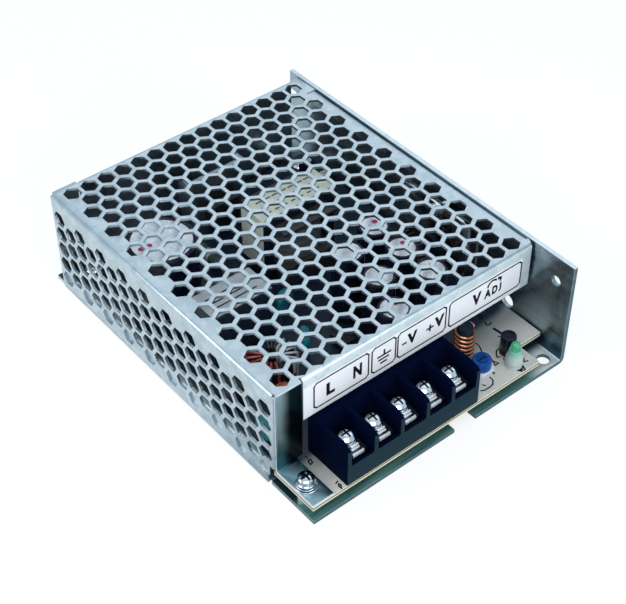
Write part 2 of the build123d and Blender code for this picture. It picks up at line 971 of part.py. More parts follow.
def build_sink():
    """Upright heat sink of the switching transistor, folded at both ends and footed in the board."""
    half = sink_length / 2
    inner = half - sink_thick
    right = [(half, 0), (half, sink_fold), (inner, sink_fold), (inner, sink_thick)]
    left = [(-x, y) for x, y in reversed(right)]
    shape = outline(*right, *left)
    return Pos(sink_x, sink_y, 0) * along_z(shape, board_top, board_top + sink_height)


def build_switch():
    """Switching transistor, flat against its heat sink."""
    case = device(device_length, device_thick, device_height, switch_lift)
    return Pos(sink_x, sink_y, board_top) * case


def device_rows():
    """Y of the two output rectifiers."""
    return [device_row_y, device_row_y + device_gap]


def build_rectifiers():
    """Two output rectifiers, flat against the insulating pad on the wall."""
    face = wall_inside - pad_thick
    shape = device(device_length, device_thick, device_height, device_lift)
    return [Pos(face, y, board_top) * Rot(0, 0, -90) * shape for y in device_rows()]


def clamp_middle():
    """Y of the middle of the clamp bar."""
    return sum(device_rows()) / 2


def build_pad():
    """Insulating pad between the rectifiers and the wall."""
    low = board_top + device_lift
    half = (device_gap + device_length) / 2 + play
    y = clamp_middle()
    x_span = (wall_inside - pad_thick, wall_inside)
    pad = block(x_span, (y - half, y + half), (low, low + device_height))
    return pad - clamp_bore()


def build_clamp_bar():
    """Steel bar that presses the rectifiers to the wall."""
    y, half = clamp_middle(), clamp_length / 2
    face = wall_inside - pad_thick - device_thick
    z_span = (clamp_bar_top - clamp_bar_height, clamp_bar_top)
    bar = block((face - clamp_bar_thick, face), (y - half, y + half), z_span)
    return bar - clamp_bore()


def clamp_bore():
    """Cutter for the clamp screw's holes, through the bar and the wall."""
    reach = 2 * device_thick
    bore = Rot(0, 90, 0) * prism(0, 0, clamp_screw_r + thread_play, (-reach, reach))
    return Pos(wall_inside, clamp_middle(), clamp_screw_up) * bore


def build_clamp_screw():
    """Screw through the clamp bar, into the wall."""
    face = wall_inside - pad_thick - device_thick - clamp_bar_thick
    head = prism(0, 0, clamp_head_r, (-clamp_head_thick, 0))
    shank = prism(0, 0, clamp_screw_r, (0, wall_inside + chassis_sheet - play - face))
    return Pos(face, clamp_middle(), clamp_screw_up) * Rot(0, 90, 0) * (head + shank)


def build_output_choke_core():
    """Toroid of the output choke, standing on edge."""
    core = ring(output_choke_r, output_choke_bore_r, output_choke_thick)
    lift = output_choke_r + output_choke_wire
    place = Pos(output_choke_x - output_choke_thick / 2, output_choke_y, board_top + lift)
    return place * Rot(0, 90, 0) * core


def build_output_choke_winding():
    """Winding of the output choke, open at the foot where its ends go down to the board."""
    wire, spare = output_choke_wire, thread_play
    outer = ring(output_choke_r + wire, output_choke_bore_r - wire, output_choke_thick + 2 * wire)
    hollow = Pos(0, 0, wire - spare) * ring(
        output_choke_r + spare, output_choke_bore_r - spare, output_choke_thick + 2 * spare
    )
    reach = output_choke_r + 2 * wire
    gap = block((0, reach), (-winding_gap, winding_gap), (-1, output_choke_thick + 4))
    x = output_choke_x - output_choke_thick / 2 - wire
    place = Pos(x, output_choke_y, board_top + output_choke_r + wire)
    return place * Rot(0, 90, 0) * (outer - hollow - gap)


def chip(x, y, length, legs):
    """Moulded circuit on the board, with a row of legs down each side."""
    half = chip_width / 2
    body = block((-length / 2, length / 2), (-half, half), (chip_lift, chip_top))
    for step in range(legs):
        middle = lead_pitch * (step - (legs - 1) / 2)
        x_span = (middle - lead_thick / 2, middle + lead_thick / 2)
        for side in (-1, 1):
            y_span = sorted((side * half, side * (half + chip_leg_reach)))
            body += block(x_span, y_span, (0, chip_leg_height))
    return Pos(x, y, board_top) * body


def build_resistor():
    """Power resistor lying on its bent leads."""
    half = resistor_length / 2
    middle = resistor_lift + resistor_r
    body = Pos(0, 0, middle) * Rot(90, 0, 0) * prism(0, 0, resistor_r, (-half, half))
    for side in (-1, 1):
        y_span = sorted((side * half, side * (half + resistor_lead_end)))
        body += block((-lead_thick / 2, lead_thick / 2), y_span, (0, middle))
    return Pos(resistor_x, resistor_y, board_top) * body


def build_rod_choke_core():
    """Ferrite rod of the small output choke, upright in the open bay."""
    z_span = (board_top, board_top + rod_choke_height)
    return prism(rod_choke_x, rod_choke_y, rod_choke_r, z_span)


def build_rod_choke_winding():
    """Close turns of the rod choke, from the board to just under the rod's end."""
    inner = rod_choke_r + thread_play
    winding = ring(inner + rod_choke_wire, inner, rod_choke_rise)
    return Pos(rod_choke_x, rod_choke_y, board_top) * winding


def write(name, shape):
    """Write one node, whether it is a single solid or a group of equal ones."""
    items = shape if isinstance(shape, list) else [shape]
    solids = [solid for item in items for solid in item.solids()]
    node = solids[0] if len(solids) == 1 else Compound(children=solids)
    export_step(node, f"parts/{name}.step")


def main():
    """Build every piece of the supply and write each as its own node."""
    os.makedirs("parts", exist_ok=True)
    write("chassis", build_chassis())
    write("cover", build_cover())
    write("insulating_film", build_film())
    write("circuit_board", build_board())
    write("board_standoffs", build_standoffs())
    write("board_screws", build_board_screws())
    write("foot_screw", pan_screw(*foot_screw_place(), foot_top + foot_washer_thick))
    write("foot_washer", build_foot_washer())
    write("wall_screw", Pos(0, cover_screw_y, cover_screw_up) * countersunk(0))
    write("terminal_block", build_terminal_block())
    write("terminal_tags", build_terminal_tags())
    for pole, x in enumerate(pole_places(), 1):
        write(f"terminal_clamp_{pole}", build_terminal_clamp(x))
        write(f"terminal_screw_{pole}", build_terminal_screw(x))
    write("trimmer_base", build_trimmer_base())
    write("trimmer_body", build_trimmer_body())
    write("trimmer_rotor", build_trimmer_rotor())
    write("lamp_holder", build_lamp_holder())
    write("lamp", build_lamp())
    write("bay_capacitor", can(small_can_x, small_can_y, small_can_r, small_can_height))
    write("rod_choke_core", build_rod_choke_core())
    write("rod_choke_winding", build_rod_choke_winding())
    write("bulk_capacitor", build_bulk_can())
    write("output_capacitors", build_output_cans())
    write("small_capacitors", build_small_cans())
    write("transformer_core", build_transformer_core())
    write("transformer_bobbin", build_transformer_bobbin())
    write("transformer_winding", build_transformer_winding())
    write("transformer_tape", build_transformer_tape())
    write("input_choke_core", build_input_choke_core())
    write("input_choke_windings", build_input_choke_windings())
    write("safety_capacitors", build_safety_discs())
    write("surge_varistor", build_varistor())
    write("inrush_thermistor", build_thermistor())
    write("fuse", build_fuse())
    write("bridge_rectifier", build_bridge())
    write("filter_capacitor", build_filter_box())
    write("switch_heat_sink", build_sink())
    write("switch_transistor", build_switch())
    write("output_rectifiers", build_rectifiers())
    write("rectifier_pad", build_pad())
    write("clamp_bar", build_clamp_bar())
    write("clamp_screw", build_clamp_screw())
    write("output_choke_core", build_output_choke_core())
    write("output_choke_winding", build_output_choke_winding())
    write("control_chip", chip(control_chip_x, control_chip_y, control_chip_length, 4))
    write("optocoupler", chip(optocoupler_x, optocoupler_y, optocoupler_length, 2))
    write("snubber_resistor", build_resistor())


main()
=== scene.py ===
"""The look of a mesh case switching power supply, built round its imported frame."""

import logging
import math
from collections.abc import Callable, Iterable
from dataclasses import dataclass, field
from enum import Enum

import bmesh
import bpy
from mathutils import Matrix, Vector


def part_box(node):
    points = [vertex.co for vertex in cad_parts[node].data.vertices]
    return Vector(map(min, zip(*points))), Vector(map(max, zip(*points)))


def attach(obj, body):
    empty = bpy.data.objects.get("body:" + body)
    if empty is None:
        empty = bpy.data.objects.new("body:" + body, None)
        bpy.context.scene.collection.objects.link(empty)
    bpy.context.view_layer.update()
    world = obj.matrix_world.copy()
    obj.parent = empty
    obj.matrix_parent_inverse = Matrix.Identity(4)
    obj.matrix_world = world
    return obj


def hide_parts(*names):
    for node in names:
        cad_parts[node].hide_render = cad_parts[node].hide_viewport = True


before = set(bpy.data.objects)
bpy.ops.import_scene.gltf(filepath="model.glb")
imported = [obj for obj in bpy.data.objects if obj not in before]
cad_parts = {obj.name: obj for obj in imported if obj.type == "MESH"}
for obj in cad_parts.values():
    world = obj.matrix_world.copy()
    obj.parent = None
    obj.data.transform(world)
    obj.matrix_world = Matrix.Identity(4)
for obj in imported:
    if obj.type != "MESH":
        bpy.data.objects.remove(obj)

LOG = logging.getLogger("scene")
MM = 0.001
Colour = tuple[float, float, float]
Point = tuple[float, float, float]
Flat = tuple[float, float]
Corners = tuple[float, float, float, float]
Socket = bpy.types.NodeSocket
Links = dict[str | int, object]
Test = Callable[[Vector, Vector], bool]
X, Y, Z = (1.0, 0.0, 0.0), (0.0, 1.0, 0.0), (0.0, 0.0, 1.0)
FIELD = (0.3, 0.7)
OCTAVE_SHARE = 0.6
WIRE_SIDES = 10
CREASE = math.radians(32)
BEVELLED = math.radians(30)
WELD = 0.0005
ON_EDGE = Matrix.Rotation(math.pi / 2, 3, "Y")
BEVEL = {"segments": 2, "profile": 0.5, "affect": "EDGES"}
PLAIN_INPUTS = ("Turns", "Start", "Sweep", "Dome")


class Grain(Enum):
    """How a finish varies over a surface."""

    CLOUDS = "clouds"
    CELLS = "cells"


def rgba(colour: Colour) -> tuple[float, float, float, float]:
    """Returns the colour with a full alpha."""
    return (*colour, 1.0)


class Tree:
    """A short way to build a node tree."""

    def __init__(self, tree: bpy.types.NodeTree) -> None:
        """Takes the tree that the nodes go to."""
        self.tree = tree

    def node(self, kind: str, links: Links | None = None, **values: object) -> bpy.types.Node:
        """Adds a node.

        Args:
            kind: The node's type name.
            links: Its inputs, each with a socket or a value.
            values: Properties to set on it.

        Returns:
            The new node.
        """
        made = self.tree.nodes.new(kind)
        for name, value in values.items():
            setattr(made, name, value)
        for name, value in (links or {}).items():
            self.feed(made.inputs[name], value)
        return made

    def out(self, kind: str, links: Links | None = None, **values: object) -> Socket:
        """Adds a node, as node does, and returns its first output."""
        return self.node(kind, links, **values).outputs[0]

    def feed(self, socket: Socket, value: object) -> None:
        """Sets an input, or links it where the value is a socket.

        Args:
            socket: The input.
            value: Its value, or the socket that it is linked to.
        """
        if isinstance(value, bpy.types.NodeSocket):
            self.tree.links.new(value, socket)
        else:
            socket.default_value = value

    def mixed(self, first: object, second: object, share: Socket) -> Socket:
        """Returns the first colour, or the second where the share is one."""
        return self.node("ShaderNodeMix", {"A": first, "B": second, "Factor": share},
                         data_type="RGBA").outputs["Result"]

    def along(self, place: Socket, way: Point) -> Socket:
        """Returns how far a place lies along a direction."""
        return self.node("ShaderNodeVectorMath", {0: place, 1: way},
                         operation="DOT_PRODUCT").outputs["Value"]


class Graph(Tree):
    """One material's node tree, round a principled surface."""

    def __init__(self, name: str) -> None:
        """Starts the tree of a new material of this name.

        Args:
            name: The material's name.
        """
        self.material = bpy.data.materials.new(name)
        self.material.use_nodes = True
        super().__init__(self.material.node_tree)
        self.tree.nodes.clear()
        self.surface = self.node("ShaderNodeBsdfPrincipled")
        self.output = self.node("ShaderNodeOutputMaterial", {"Surface": self.surface.outputs[0]})
        self.place = self.node("ShaderNodeTexCoord").outputs["Object"]

    def noise(self, scale: float, detail: float, stretch: Point) -> Socket:
        """Adds a noise field.

        Args:
            scale: Repeats in one metre.
            detail: Octaves of detail.
            stretch: The scale along each axis.

        Returns:
            The socket with its factor.
        """
        place = self.out("ShaderNodeMapping", {"Vector": self.place, "Scale": stretch})
        return self.out("ShaderNodeTexNoise", {
            "Vector": place, "Scale": scale, "Detail": detail, "Roughness": OCTAVE_SHARE})

    def cells(self, scale: float) -> Socket:
        """Returns a field with one shade in each cell, with so many cells in one metre."""
        return self.node("ShaderNodeTexVoronoi", {"Vector": self.place, "Scale": scale},
                         feature="F1").outputs["Color"]

    def ramp(self, shade: Socket, low: Colour, high: Colour, ends: Flat = FIELD) -> Socket:
        """Turns a field into a colour between two ends.

        Args:
            shade: The field.
            low: The colour at the low end.
            high: The colour at the high end.
            ends: The field's values at which the two colours stand.

        Returns:
            The socket with the colour.
        """
        made = self.node("ShaderNodeValToRGB", {"Fac": shade})
        for stop, place, colour in zip(made.color_ramp.elements, ends, (low, high)):
            stop.position, stop.color = place, rgba(colour)
        return made.outputs["Color"]

    def ranged(self, shade: Socket, ends: Flat, low: float = 0.0, high: float = 1.0,
               kind: str = "LINEAR") -> Socket:
        """Maps a field from its ends to a range.

        Args:
            shade: The field.
            ends: The field's values at the range's two ends.
            low: The value at the low end.
            high: The value at the high end.
            kind: How it goes from one to the other.

        Returns:
            The socket with the value.
        """
        return self.out("ShaderNodeMapRange", {
            "Value": shade, "From Min": ends[0], "From Max": ends[1], "To Min": low,
            "To Max": high}, interpolation_type=kind)

    def faded(self, colour: Socket, way: Point, start: float, end: float,
              last: Colour) -> Socket:
        """Fades a colour into another along a direction.

        Args:
            colour: The colour at the start.
            way: The direction.
            start: Where along it the fade starts, in millimetres.
            end: Where it ends.
            last: The colour at the end.

        Returns:
            The socket with the colour.
        """
        share = self.ranged(self.along(self.place, way), (start * MM, end * MM),
                            kind="SMOOTHSTEP")
        return self.mixed(colour, rgba(last), share)


@dataclass(frozen=True)
class Finish:
    """A surface finish: two colours, a grain between them and a bump.

    The grain runs in the object's own coordinates, so it stays on the piece.
    """

    name: str
    dark: Colour
    light: Colour
    grain: Grain = Grain.CLOUDS
    scale: float = 400.0
    stretch: Point = (1.0, 1.0, 1.0)
    metallic: float = 0.0
    rough: Flat = (0.35, 0.5)
    bump: float = 0.15
    depth: float = 0.00005
    fine: float = 3000.0
    specular: float = 0.5
    coat: float = 0.0
    coat_rough: float = 0.12
    clear: float = 0.0
    glow: float = 0.0
    fades: tuple[tuple[Point, float, float, Colour], ...] = ()
    seen: list = field(default_factory=list, compare=False, hash=False, repr=False)

    def material(self) -> bpy.types.Material:
        """Builds the finish's material on the first call.

        Returns:
            The material.
        """
        if self.seen:
            return self.seen[0]
        graph = Graph(self.name)
        shade = (graph.cells(self.scale) if self.grain is Grain.CELLS
                 else graph.noise(self.scale, 3.0, self.stretch))
        colour = graph.ramp(shade, self.dark, self.light)
        for fade in self.fades:
            colour = graph.faded(colour, *fade)
        worn = graph.noise(self.scale * 0.6, 3.0, self.stretch)
        raised = graph.out("ShaderNodeBump", {
            "Strength": self.bump, "Distance": self.depth,
            "Height": graph.noise(self.fine, 2.0, self.stretch)})
        levels = {"Base Color": colour, "Normal": raised,
                  "Roughness": graph.ranged(worn, FIELD, *self.rough),
                  "Metallic": self.metallic, "Coat Weight": self.coat,
                  "Coat Roughness": self.coat_rough, "Transmission Weight": self.clear,
                  "Specular IOR Level": self.specular, "Emission Strength": self.glow,
                  "Emission Color": rgba(self.light)}
        for name, value in levels.items():
            graph.feed(graph.surface.inputs[name], value)
        self.seen.append(graph.material)
        return graph.material


class Finishes:
    """Every finish of the supply."""

    sheet = Finish("galvanised", (0.50, 0.565, 0.61), (0.59, 0.645, 0.69), Grain.CELLS, 420.0,
                   metallic=1.0, rough=(0.26, 0.38), bump=0.06)
    # Painted light: a lighter, less metallic copy of the galvanised steel, for flange faces that
    # should look lit.
    flange_painted_light = Finish("flange_painted_light", (0.64, 0.75, 0.80), (0.74, 0.84, 0.89), Grain.CELLS,
                          420.0, metallic=0.15, rough=(0.28, 0.38), bump=0.04)
    # Painted shade and reflection: the chassis steel, darkening towards the bottom of the right
    # wall's inner face.
    wall_painted_shade = Finish("wall_painted_shade", (0.26, 0.34, 0.38), (0.38, 0.46, 0.50), scale=90.0,
                        stretch=(1.0, 1.0, 6.0), metallic=1.0, rough=(0.26, 0.38), bump=0.08,
                        fades=((Z, 10.0, 4.5, (0.05, 0.11, 0.15)),))
    chassis = Finish("chassis_steel", (0.26, 0.34, 0.38), (0.38, 0.46, 0.50), Grain.CLOUDS, 90.0,
                     stretch=(1.0, 1.0, 6.0), metallic=1.0, rough=(0.26, 0.38), bump=0.08)
    # Painted reflection and shade: a dark teal floor that is darkest under the board, with painted
    # light where it runs out to the right.
    floor_painted_shade_and_light = Finish("floor_painted_shade_and_light", (0.03, 0.12, 0.12), (0.14, 0.30, 0.28), metallic=0.4,
                         scale=140.0, stretch=(0.4, 3.0, 1.0), rough=(0.3, 0.4), bump=0.05,
                         fades=((X, 33.0, 42.0, (0.66, 0.71, 0.72)),
                                (Y, -58.5, -54.5, (0.008, 0.035, 0.055))))
    # Painted highlight: a pale, half metallic tone for front edges and ledges that catch the
    # light.
    painted_highlight = Finish("painted_highlight_edge", (0.74, 0.79, 0.84), (0.92, 0.95, 0.98), scale=900.0,
                      metallic=0.25, rough=(0.25, 0.35), bump=0.02)
    # Painted shade: nickel that turns dark towards the back of each head, for the terminal and
    # foot screws.
    screw_painted_rear_shade = Finish("nickel_painted_rear_shade", (0.66, 0.70, 0.74), (0.86, 0.90, 0.94), scale=700.0,
                         metallic=1.0, rough=(0.08, 0.16), bump=0.02,
                         fades=((Y, -58.4, -55.6, (0.02, 0.03, 0.055)),))
    screw = Finish("nickel", (0.62, 0.66, 0.70), (0.82, 0.86, 0.90), scale=700.0, metallic=1.0,
                   rough=(0.08, 0.16), bump=0.02)
    # Painted shade for the insides of screw recesses and the gaps between washers.
    recess = Finish("recess_shade", (0.015, 0.02, 0.03), (0.05, 0.06, 0.07), scale=900.0,
                    metallic=1.0, rough=(0.3, 0.5))
    # Painted shade: a darker copy of the galvanised steel for the cover's inside.
    inner_painted_shade = Finish("inner_painted_shade", (0.10, 0.15, 0.18), (0.18, 0.24, 0.28), Grain.CELLS, 420.0,
                         metallic=1.0, rough=(0.3, 0.42), bump=0.05)
    # Painted reflection and shade on the front return: it darkens downwards and towards the right.
    return_painted_reflection = Finish("return_painted_reflection", (0.52, 0.64, 0.68), (0.60, 0.72, 0.76), Grain.CELLS,
                          500.0, metallic=1.0, rough=(0.28, 0.38), bump=0.04,
                          fades=((Z, 32.0, 9.0, (0.07, 0.18, 0.21)),
                                 (X, -46.8, -43.0, (0.006, 0.026, 0.038))))
    # Painted reflection and shade: a teal copy of the steel for the foot, darkening towards the
    # terminal block.
    foot_painted_shade = Finish("foot_painted_shade", (0.22, 0.36, 0.42), (0.30, 0.45, 0.51), scale=300.0,
                        metallic=0.8, rough=(0.3, 0.4), bump=0.04,
                        fades=((X, -44.5, -41.0, (0.02, 0.08, 0.11)),))
    solder_side = Finish("solder_side", (0.004, 0.035, 0.03), (0.01, 0.07, 0.055), scale=500.0,
                         rough=(0.3, 0.4))
    tag = Finish("tin", (0.58, 0.63, 0.67), (0.80, 0.84, 0.88), scale=900.0,
                 stretch=(1.0, 5.0, 1.0), metallic=1.0, rough=(0.14, 0.24), bump=0.02)
    shaded_tin = Finish("shaded_tin", (0.05, 0.07, 0.11), (0.12, 0.15, 0.20), scale=300.0,
                        metallic=0.9, rough=(0.2, 0.3), bump=0.02)
    # Painted shade: the board darkens towards the back, under the cover, to near black.
    board = Finish("board", (0.52, 0.51, 0.47), (0.62, 0.61, 0.57), scale=350.0, rough=(0.38, 0.5),
                   coat=0.1, bump=0.04,
                   fades=(((-0.10, 1.0, 0.0), -60.5, -44.0, (0.17, 0.19, 0.19)),
                          ((-0.10, 1.0, 0.0), -47.6, -44.4, (0.004, 0.016, 0.036))))
    laminate = Finish("laminate_edge", (0.70, 0.67, 0.54), (0.82, 0.79, 0.66), scale=900.0,
                      stretch=(1.0, 1.0, 9.0), rough=(0.5, 0.7),
                      fades=((Z, 6.66, 6.56, (0.13, 0.10, 0.06)),
                             (Z, 6.18, 6.08, (0.70, 0.68, 0.48))))
    film = Finish("film", (0.05, 0.06, 0.09), (0.09, 0.10, 0.14), rough=(0.3, 0.4))
    block = Finish("block_black", (0.0003, 0.0022, 0.013), (0.0008, 0.0044, 0.022), scale=1500.0,
                   rough=(0.45, 0.6), specular=0.01, bump=0.02)
    # Painted reflection: a lighter teal for the moulding's front faces.
    block_front_painted_reflection = Finish("block_front_painted_reflection", (0.006, 0.022, 0.034), (0.012, 0.034, 0.05), scale=1500.0,
                         rough=(0.34, 0.46), specular=0.12, bump=0.05)
    sleeve = Finish("sleeve", (0.002, 0.003, 0.011), (0.006, 0.008, 0.024), rough=(0.24, 0.36),
                    coat=0.06, specular=0.3, bump=0.06)
    stripe = Finish("sleeve_stripe", (0.30, 0.32, 0.36), (0.42, 0.44, 0.48), rough=(0.3, 0.4))
    can_top = Finish("can_top", (0.72, 0.74, 0.80), (0.90, 0.92, 0.97), scale=500.0, metallic=0.55,
                     rough=(0.24, 0.36), bump=0.05)
    mark = Finish("red_mark", (0.40, 0.02, 0.07), (0.62, 0.05, 0.14), rough=(0.4, 0.5))
    pink = Finish("pink_dab", (0.55, 0.20, 0.26), (0.72, 0.34, 0.40), rough=(0.3, 0.4), coat=0.3)
    white = Finish("white_moulding", (0.58, 0.64, 0.72), (0.70, 0.76, 0.82), rough=(0.38, 0.5))
    blue = Finish("blue_moulding", (0.001, 0.045, 0.24), (0.003, 0.085, 0.38), rough=(0.3, 0.42),
                  specular=0.25)
    rotor = Finish("rotor_blue", (0.0008, 0.03, 0.16), (0.002, 0.05, 0.24), rough=(0.3, 0.42),
                   specular=0.25)
    frosted = Finish("frosted", (0.56, 0.70, 0.65), (0.68, 0.82, 0.77), clear=0.3,
                     rough=(0.4, 0.55), fades=((Z, 10.2, 13.4, (0.24, 0.62, 0.46)),))
    lamp = Finish("green_lens", (0.04, 0.42, 0.20), (0.12, 0.66, 0.38), clear=0.45,
                  rough=(0.08, 0.14), coat=0.6, glow=0.08)
    ferrite = Finish("ferrite", (0.002, 0.006, 0.014), (0.008, 0.018, 0.032), scale=1800.0,
                     rough=(0.4, 0.6), specular=0.25, bump=0.2)
    copper = Finish("lacquered_copper", (0.42, 0.13, 0.06), (0.72, 0.30, 0.16), scale=600.0,
                    metallic=0.75, rough=(0.16, 0.26), coat=0.5, bump=0.05)
    choke_wire = Finish("choke_copper", (0.035, 0.018, 0.016), (0.10, 0.045, 0.035), scale=600.0,
                        metallic=0.75, rough=(0.2, 0.3), coat=0.4, bump=0.05)
    red_wire = Finish("red_wire", (0.34, 0.03, 0.03), (0.52, 0.07, 0.05), coat=0.5,
                      rough=(0.2, 0.3), bump=0.05)
    dark_wire = Finish("dark_wire", (0.02, 0.02, 0.03), (0.05, 0.05, 0.06), coat=0.4,
                       rough=(0.2, 0.3), bump=0.05)
    white_wire = Finish("white_wire", (0.52, 0.54, 0.56), (0.68, 0.70, 0.72), coat=0.4,
                        rough=(0.2, 0.3), bump=0.05)
    tape = Finish("pale_tape", (0.80, 0.83, 0.68), (0.90, 0.92, 0.80), scale=200.0,
                  rough=(0.32, 0.44), coat=0.2)
    tape_print = Finish("tape_print", (0.02, 0.02, 0.03), (0.08, 0.08, 0.08), scale=900.0)
    bobbin = Finish("bobbin", (0.02, 0.02, 0.02), (0.05, 0.05, 0.05))
    winding = Finish("winding_tape", (0.10, 0.11, 0.12), (0.18, 0.19, 0.20), scale=500.0,
                     stretch=(1.0, 1.0, 8.0))
    box_film = Finish("box_case", (0.50, 0.54, 0.58), (0.62, 0.66, 0.70))
    # Painted shade for the film capacitor's sides.
    box_side_painted_shade = Finish("box_side_painted_shade", (0.010, 0.018, 0.035), (0.022, 0.034, 0.06))
    teal = Finish("teal_lacquer", (0.01, 0.20, 0.26), (0.03, 0.38, 0.44), coat=0.4,
                  rough=(0.2, 0.3))
    orange = Finish("orange_lacquer", (0.42, 0.08, 0.04), (0.66, 0.18, 0.10), coat=0.4,
                    rough=(0.2, 0.3))
    dark = Finish("dark_lacquer", (0.02, 0.045, 0.04), (0.06, 0.10, 0.09))
    epoxy = Finish("black_epoxy", (0.006, 0.007, 0.010), (0.016, 0.018, 0.024), scale=1600.0,
                   rough=(0.4, 0.6), bump=0.3)
    aluminium = Finish("aluminium", (0.36, 0.42, 0.46), (0.50, 0.56, 0.60), metallic=1.0,
                       scale=300.0, stretch=(6.0, 1.0, 1.0), rough=(0.25, 0.4))
    pad = Finish("pad", (0.22, 0.24, 0.26), (0.32, 0.34, 0.36), rough=(0.6, 0.8))
    ink = Finish("label_ink", (0.002, 0.003, 0.008), (0.006, 0.008, 0.016), rough=(0.45, 0.55),
                 specular=0.15)
    label = Finish("label_film", (0.84, 0.85, 0.90), (0.90, 0.91, 0.95), scale=120.0,
                   rough=(0.3, 0.4), bump=0.03)


def span(node: str) -> tuple[Vector, Vector]:
    """Returns a CAD node's lowest and highest corners in millimetres."""
    low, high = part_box(node)
    return low / MM, high / MM


def middle(node: str) -> Vector:
    """Returns the middle of a CAD node's box in millimetres."""
    low, high = span(node)
    return (low + high) / 2


class Piece:
    """A mesh piece that is built up in the frame's millimetres."""

    def __init__(self, name: str, finish: Finish, body: str = "supply") -> None:
        """Starts an empty piece.

        Args:
            name: The piece's name.
            finish: Its first finish.
            body: The body that it rides on.
        """
        self.name, self.body = name, body
        self.finishes = [finish]
        self.mesh = bmesh.new()

    def paint(self, finish: Finish, faces: Iterable[bmesh.types.BMFace]) -> None:
        """Gives faces another finish of the piece.

        Args:
            finish: The finish.
            faces: The faces that take it.
        """
        if finish not in self.finishes:
            self.finishes.append(finish)
        for face in faces:
            face.material_index = self.finishes.index(finish)

    def tint(self, finish: Finish, test: Test) -> None:
        """Gives a finish to each face whose middle and normal pass a test.

        Args:
            finish: The finish.
            test: Takes a face's middle and normal.
        """
        self.mesh.normal_update()
        chosen = [f for f in self.mesh.faces if test(f.calc_center_median(), f.normal)]
        self.paint(finish, chosen)

    def paint_from(self, finish: Finish, first: int) -> None:
        """Gives a finish to every face from the first one named on."""
        self.mesh.faces.ensure_lookup_table()
        self.paint(finish, self.mesh.faces[first:])

    def weld(self) -> None:
        """Joins points that lie on each other, where a turned profile closes."""
        bmesh.ops.remove_doubles(self.mesh, verts=self.mesh.verts, dist=WELD)

    def box(self, low: Point, high: Point, edge: float) -> None:
        """Adds a bevelled box between two corners.

        Args:
            low: The lowest corner.
            high: The highest corner.
            edge: How far its edges are bevelled.
        """
        low, high = Vector(low), Vector(high)
        place = (Matrix.Translation((low + high) / 2)
                 @ Matrix.Diagonal((*(high - low), 1.0)))
        verts = bmesh.ops.create_cube(self.mesh, size=1.0, matrix=place)["verts"]
        edges = list({e for v in verts for e in v.link_edges})
        bmesh.ops.bevel(self.mesh, geom=edges, offset=edge, **BEVEL)

    def lathe(self, place: Point, profile: list[Flat], turn: Matrix | None = None,
              sides: int = 40) -> list[bmesh.types.BMFace]:
        """Turns a profile of radius and height about an axis.

        Args:
            place: Where the axis's zero height stands.
            profile: Radii and heights, in order.
            turn: A rotation of the upright axis.
            sides: Faces round the axis.

        Returns:
            The new faces.
        """
        turned = turn.to_4x4() if turn else Matrix.Identity(4)
        whole = Matrix.Translation(place) @ turned
        rings = []
        for radius, up in profile:
            count = sides if radius > 1e-6 else 1
            angles = [math.tau * k / sides for k in range(count)]
            rings.append([self.mesh.verts.new(
                whole @ Vector((radius * math.cos(a), radius * math.sin(a), up)))
                for a in angles])
        faces = []
        for low, high in zip(rings, rings[1:]):
            for k in range(sides):
                corners = [low[k % len(low)], low[(k + 1) % sides % len(low)],
                           high[(k + 1) % sides % len(high)], high[k % len(high)]]
                corners = list(dict.fromkeys(corners))
                if len(corners) > 2:
                    faces.append(self.mesh.faces.new(corners))
        return faces

    def tube(self, points: list[Point], radius: float) -> None:
        """Adds a round wire through points, with flat ends.

        Args:
            points: The wire's middle line.
            radius: Its radius.
        """
        line = [Vector(p) for p in points]
        rings = []
        for k, point in enumerate(line):
            along = (line[min(k + 1, len(line) - 1)] - line[max(k - 1, 0)]).normalized()
            side = along.orthogonal().normalized()
            if rings:
                side = (previous - along * previous.dot(along)).normalized()
            previous = side
            other = along.cross(side)
            angles = [math.tau * i / WIRE_SIDES for i in range(WIRE_SIDES)]
            rings.append([self.mesh.verts.new(
                point + radius * (side * math.cos(a) + other * math.sin(a))) for a in angles])
        for low, high in zip(rings, rings[1:]):
            for i in range(WIRE_SIDES):
                j = (i + 1) % WIRE_SIDES
                self.mesh.faces.new((low[i], low[j], high[j], high[i]))
        self.mesh.faces.new(rings[0][::-1])
        self.mesh.faces.new(rings[-1])

    def copy(self, node: str, edge: float, fit: tuple[Point, Point] | None = None) -> None:
        """Adds a merged copy of a CAD node with its sharp edges bevelled.

        Args:
            node: The node.
            edge: How far the edges are bevelled.
            fit: Two corners of a box that the copy is scaled to fill.
        """
        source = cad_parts[node]
        shape = bmesh.new()
        shape.from_mesh(source.data)
        shape.transform(Matrix.Diagonal((1 / MM, 1 / MM, 1 / MM, 1.0)) @ source.matrix_world)
        if fit:
            low, high = span(node)
            for vert in shape.verts:
                for i in range(3):
                    share = (vert.co[i] - low[i]) / (high[i] - low[i])
                    vert.co[i] = fit[0][i] + share * (fit[1][i] - fit[0][i])
        bmesh.ops.remove_doubles(shape, verts=shape.verts, dist=2 * WELD)
        bmesh.ops.dissolve_limit(shape, angle_limit=math.radians(1), verts=shape.verts,
                                 edges=shape.edges)
        bmesh.ops.recalc_face_normals(shape, faces=shape.faces)
        chosen = [e for e in shape.edges if len(e.link_faces) == 2
                  and e.calc_face_angle(0.0) > BEVELLED]
        bmesh.ops.bevel(shape, geom=chosen, offset=edge, clamp_overlap=True, **BEVEL)
        spare = bpy.data.meshes.new("spare")
        shape.to_mesh(spare)
        shape.free()
        self.mesh.from_mesh(spare)
        bpy.data.meshes.remove(spare)

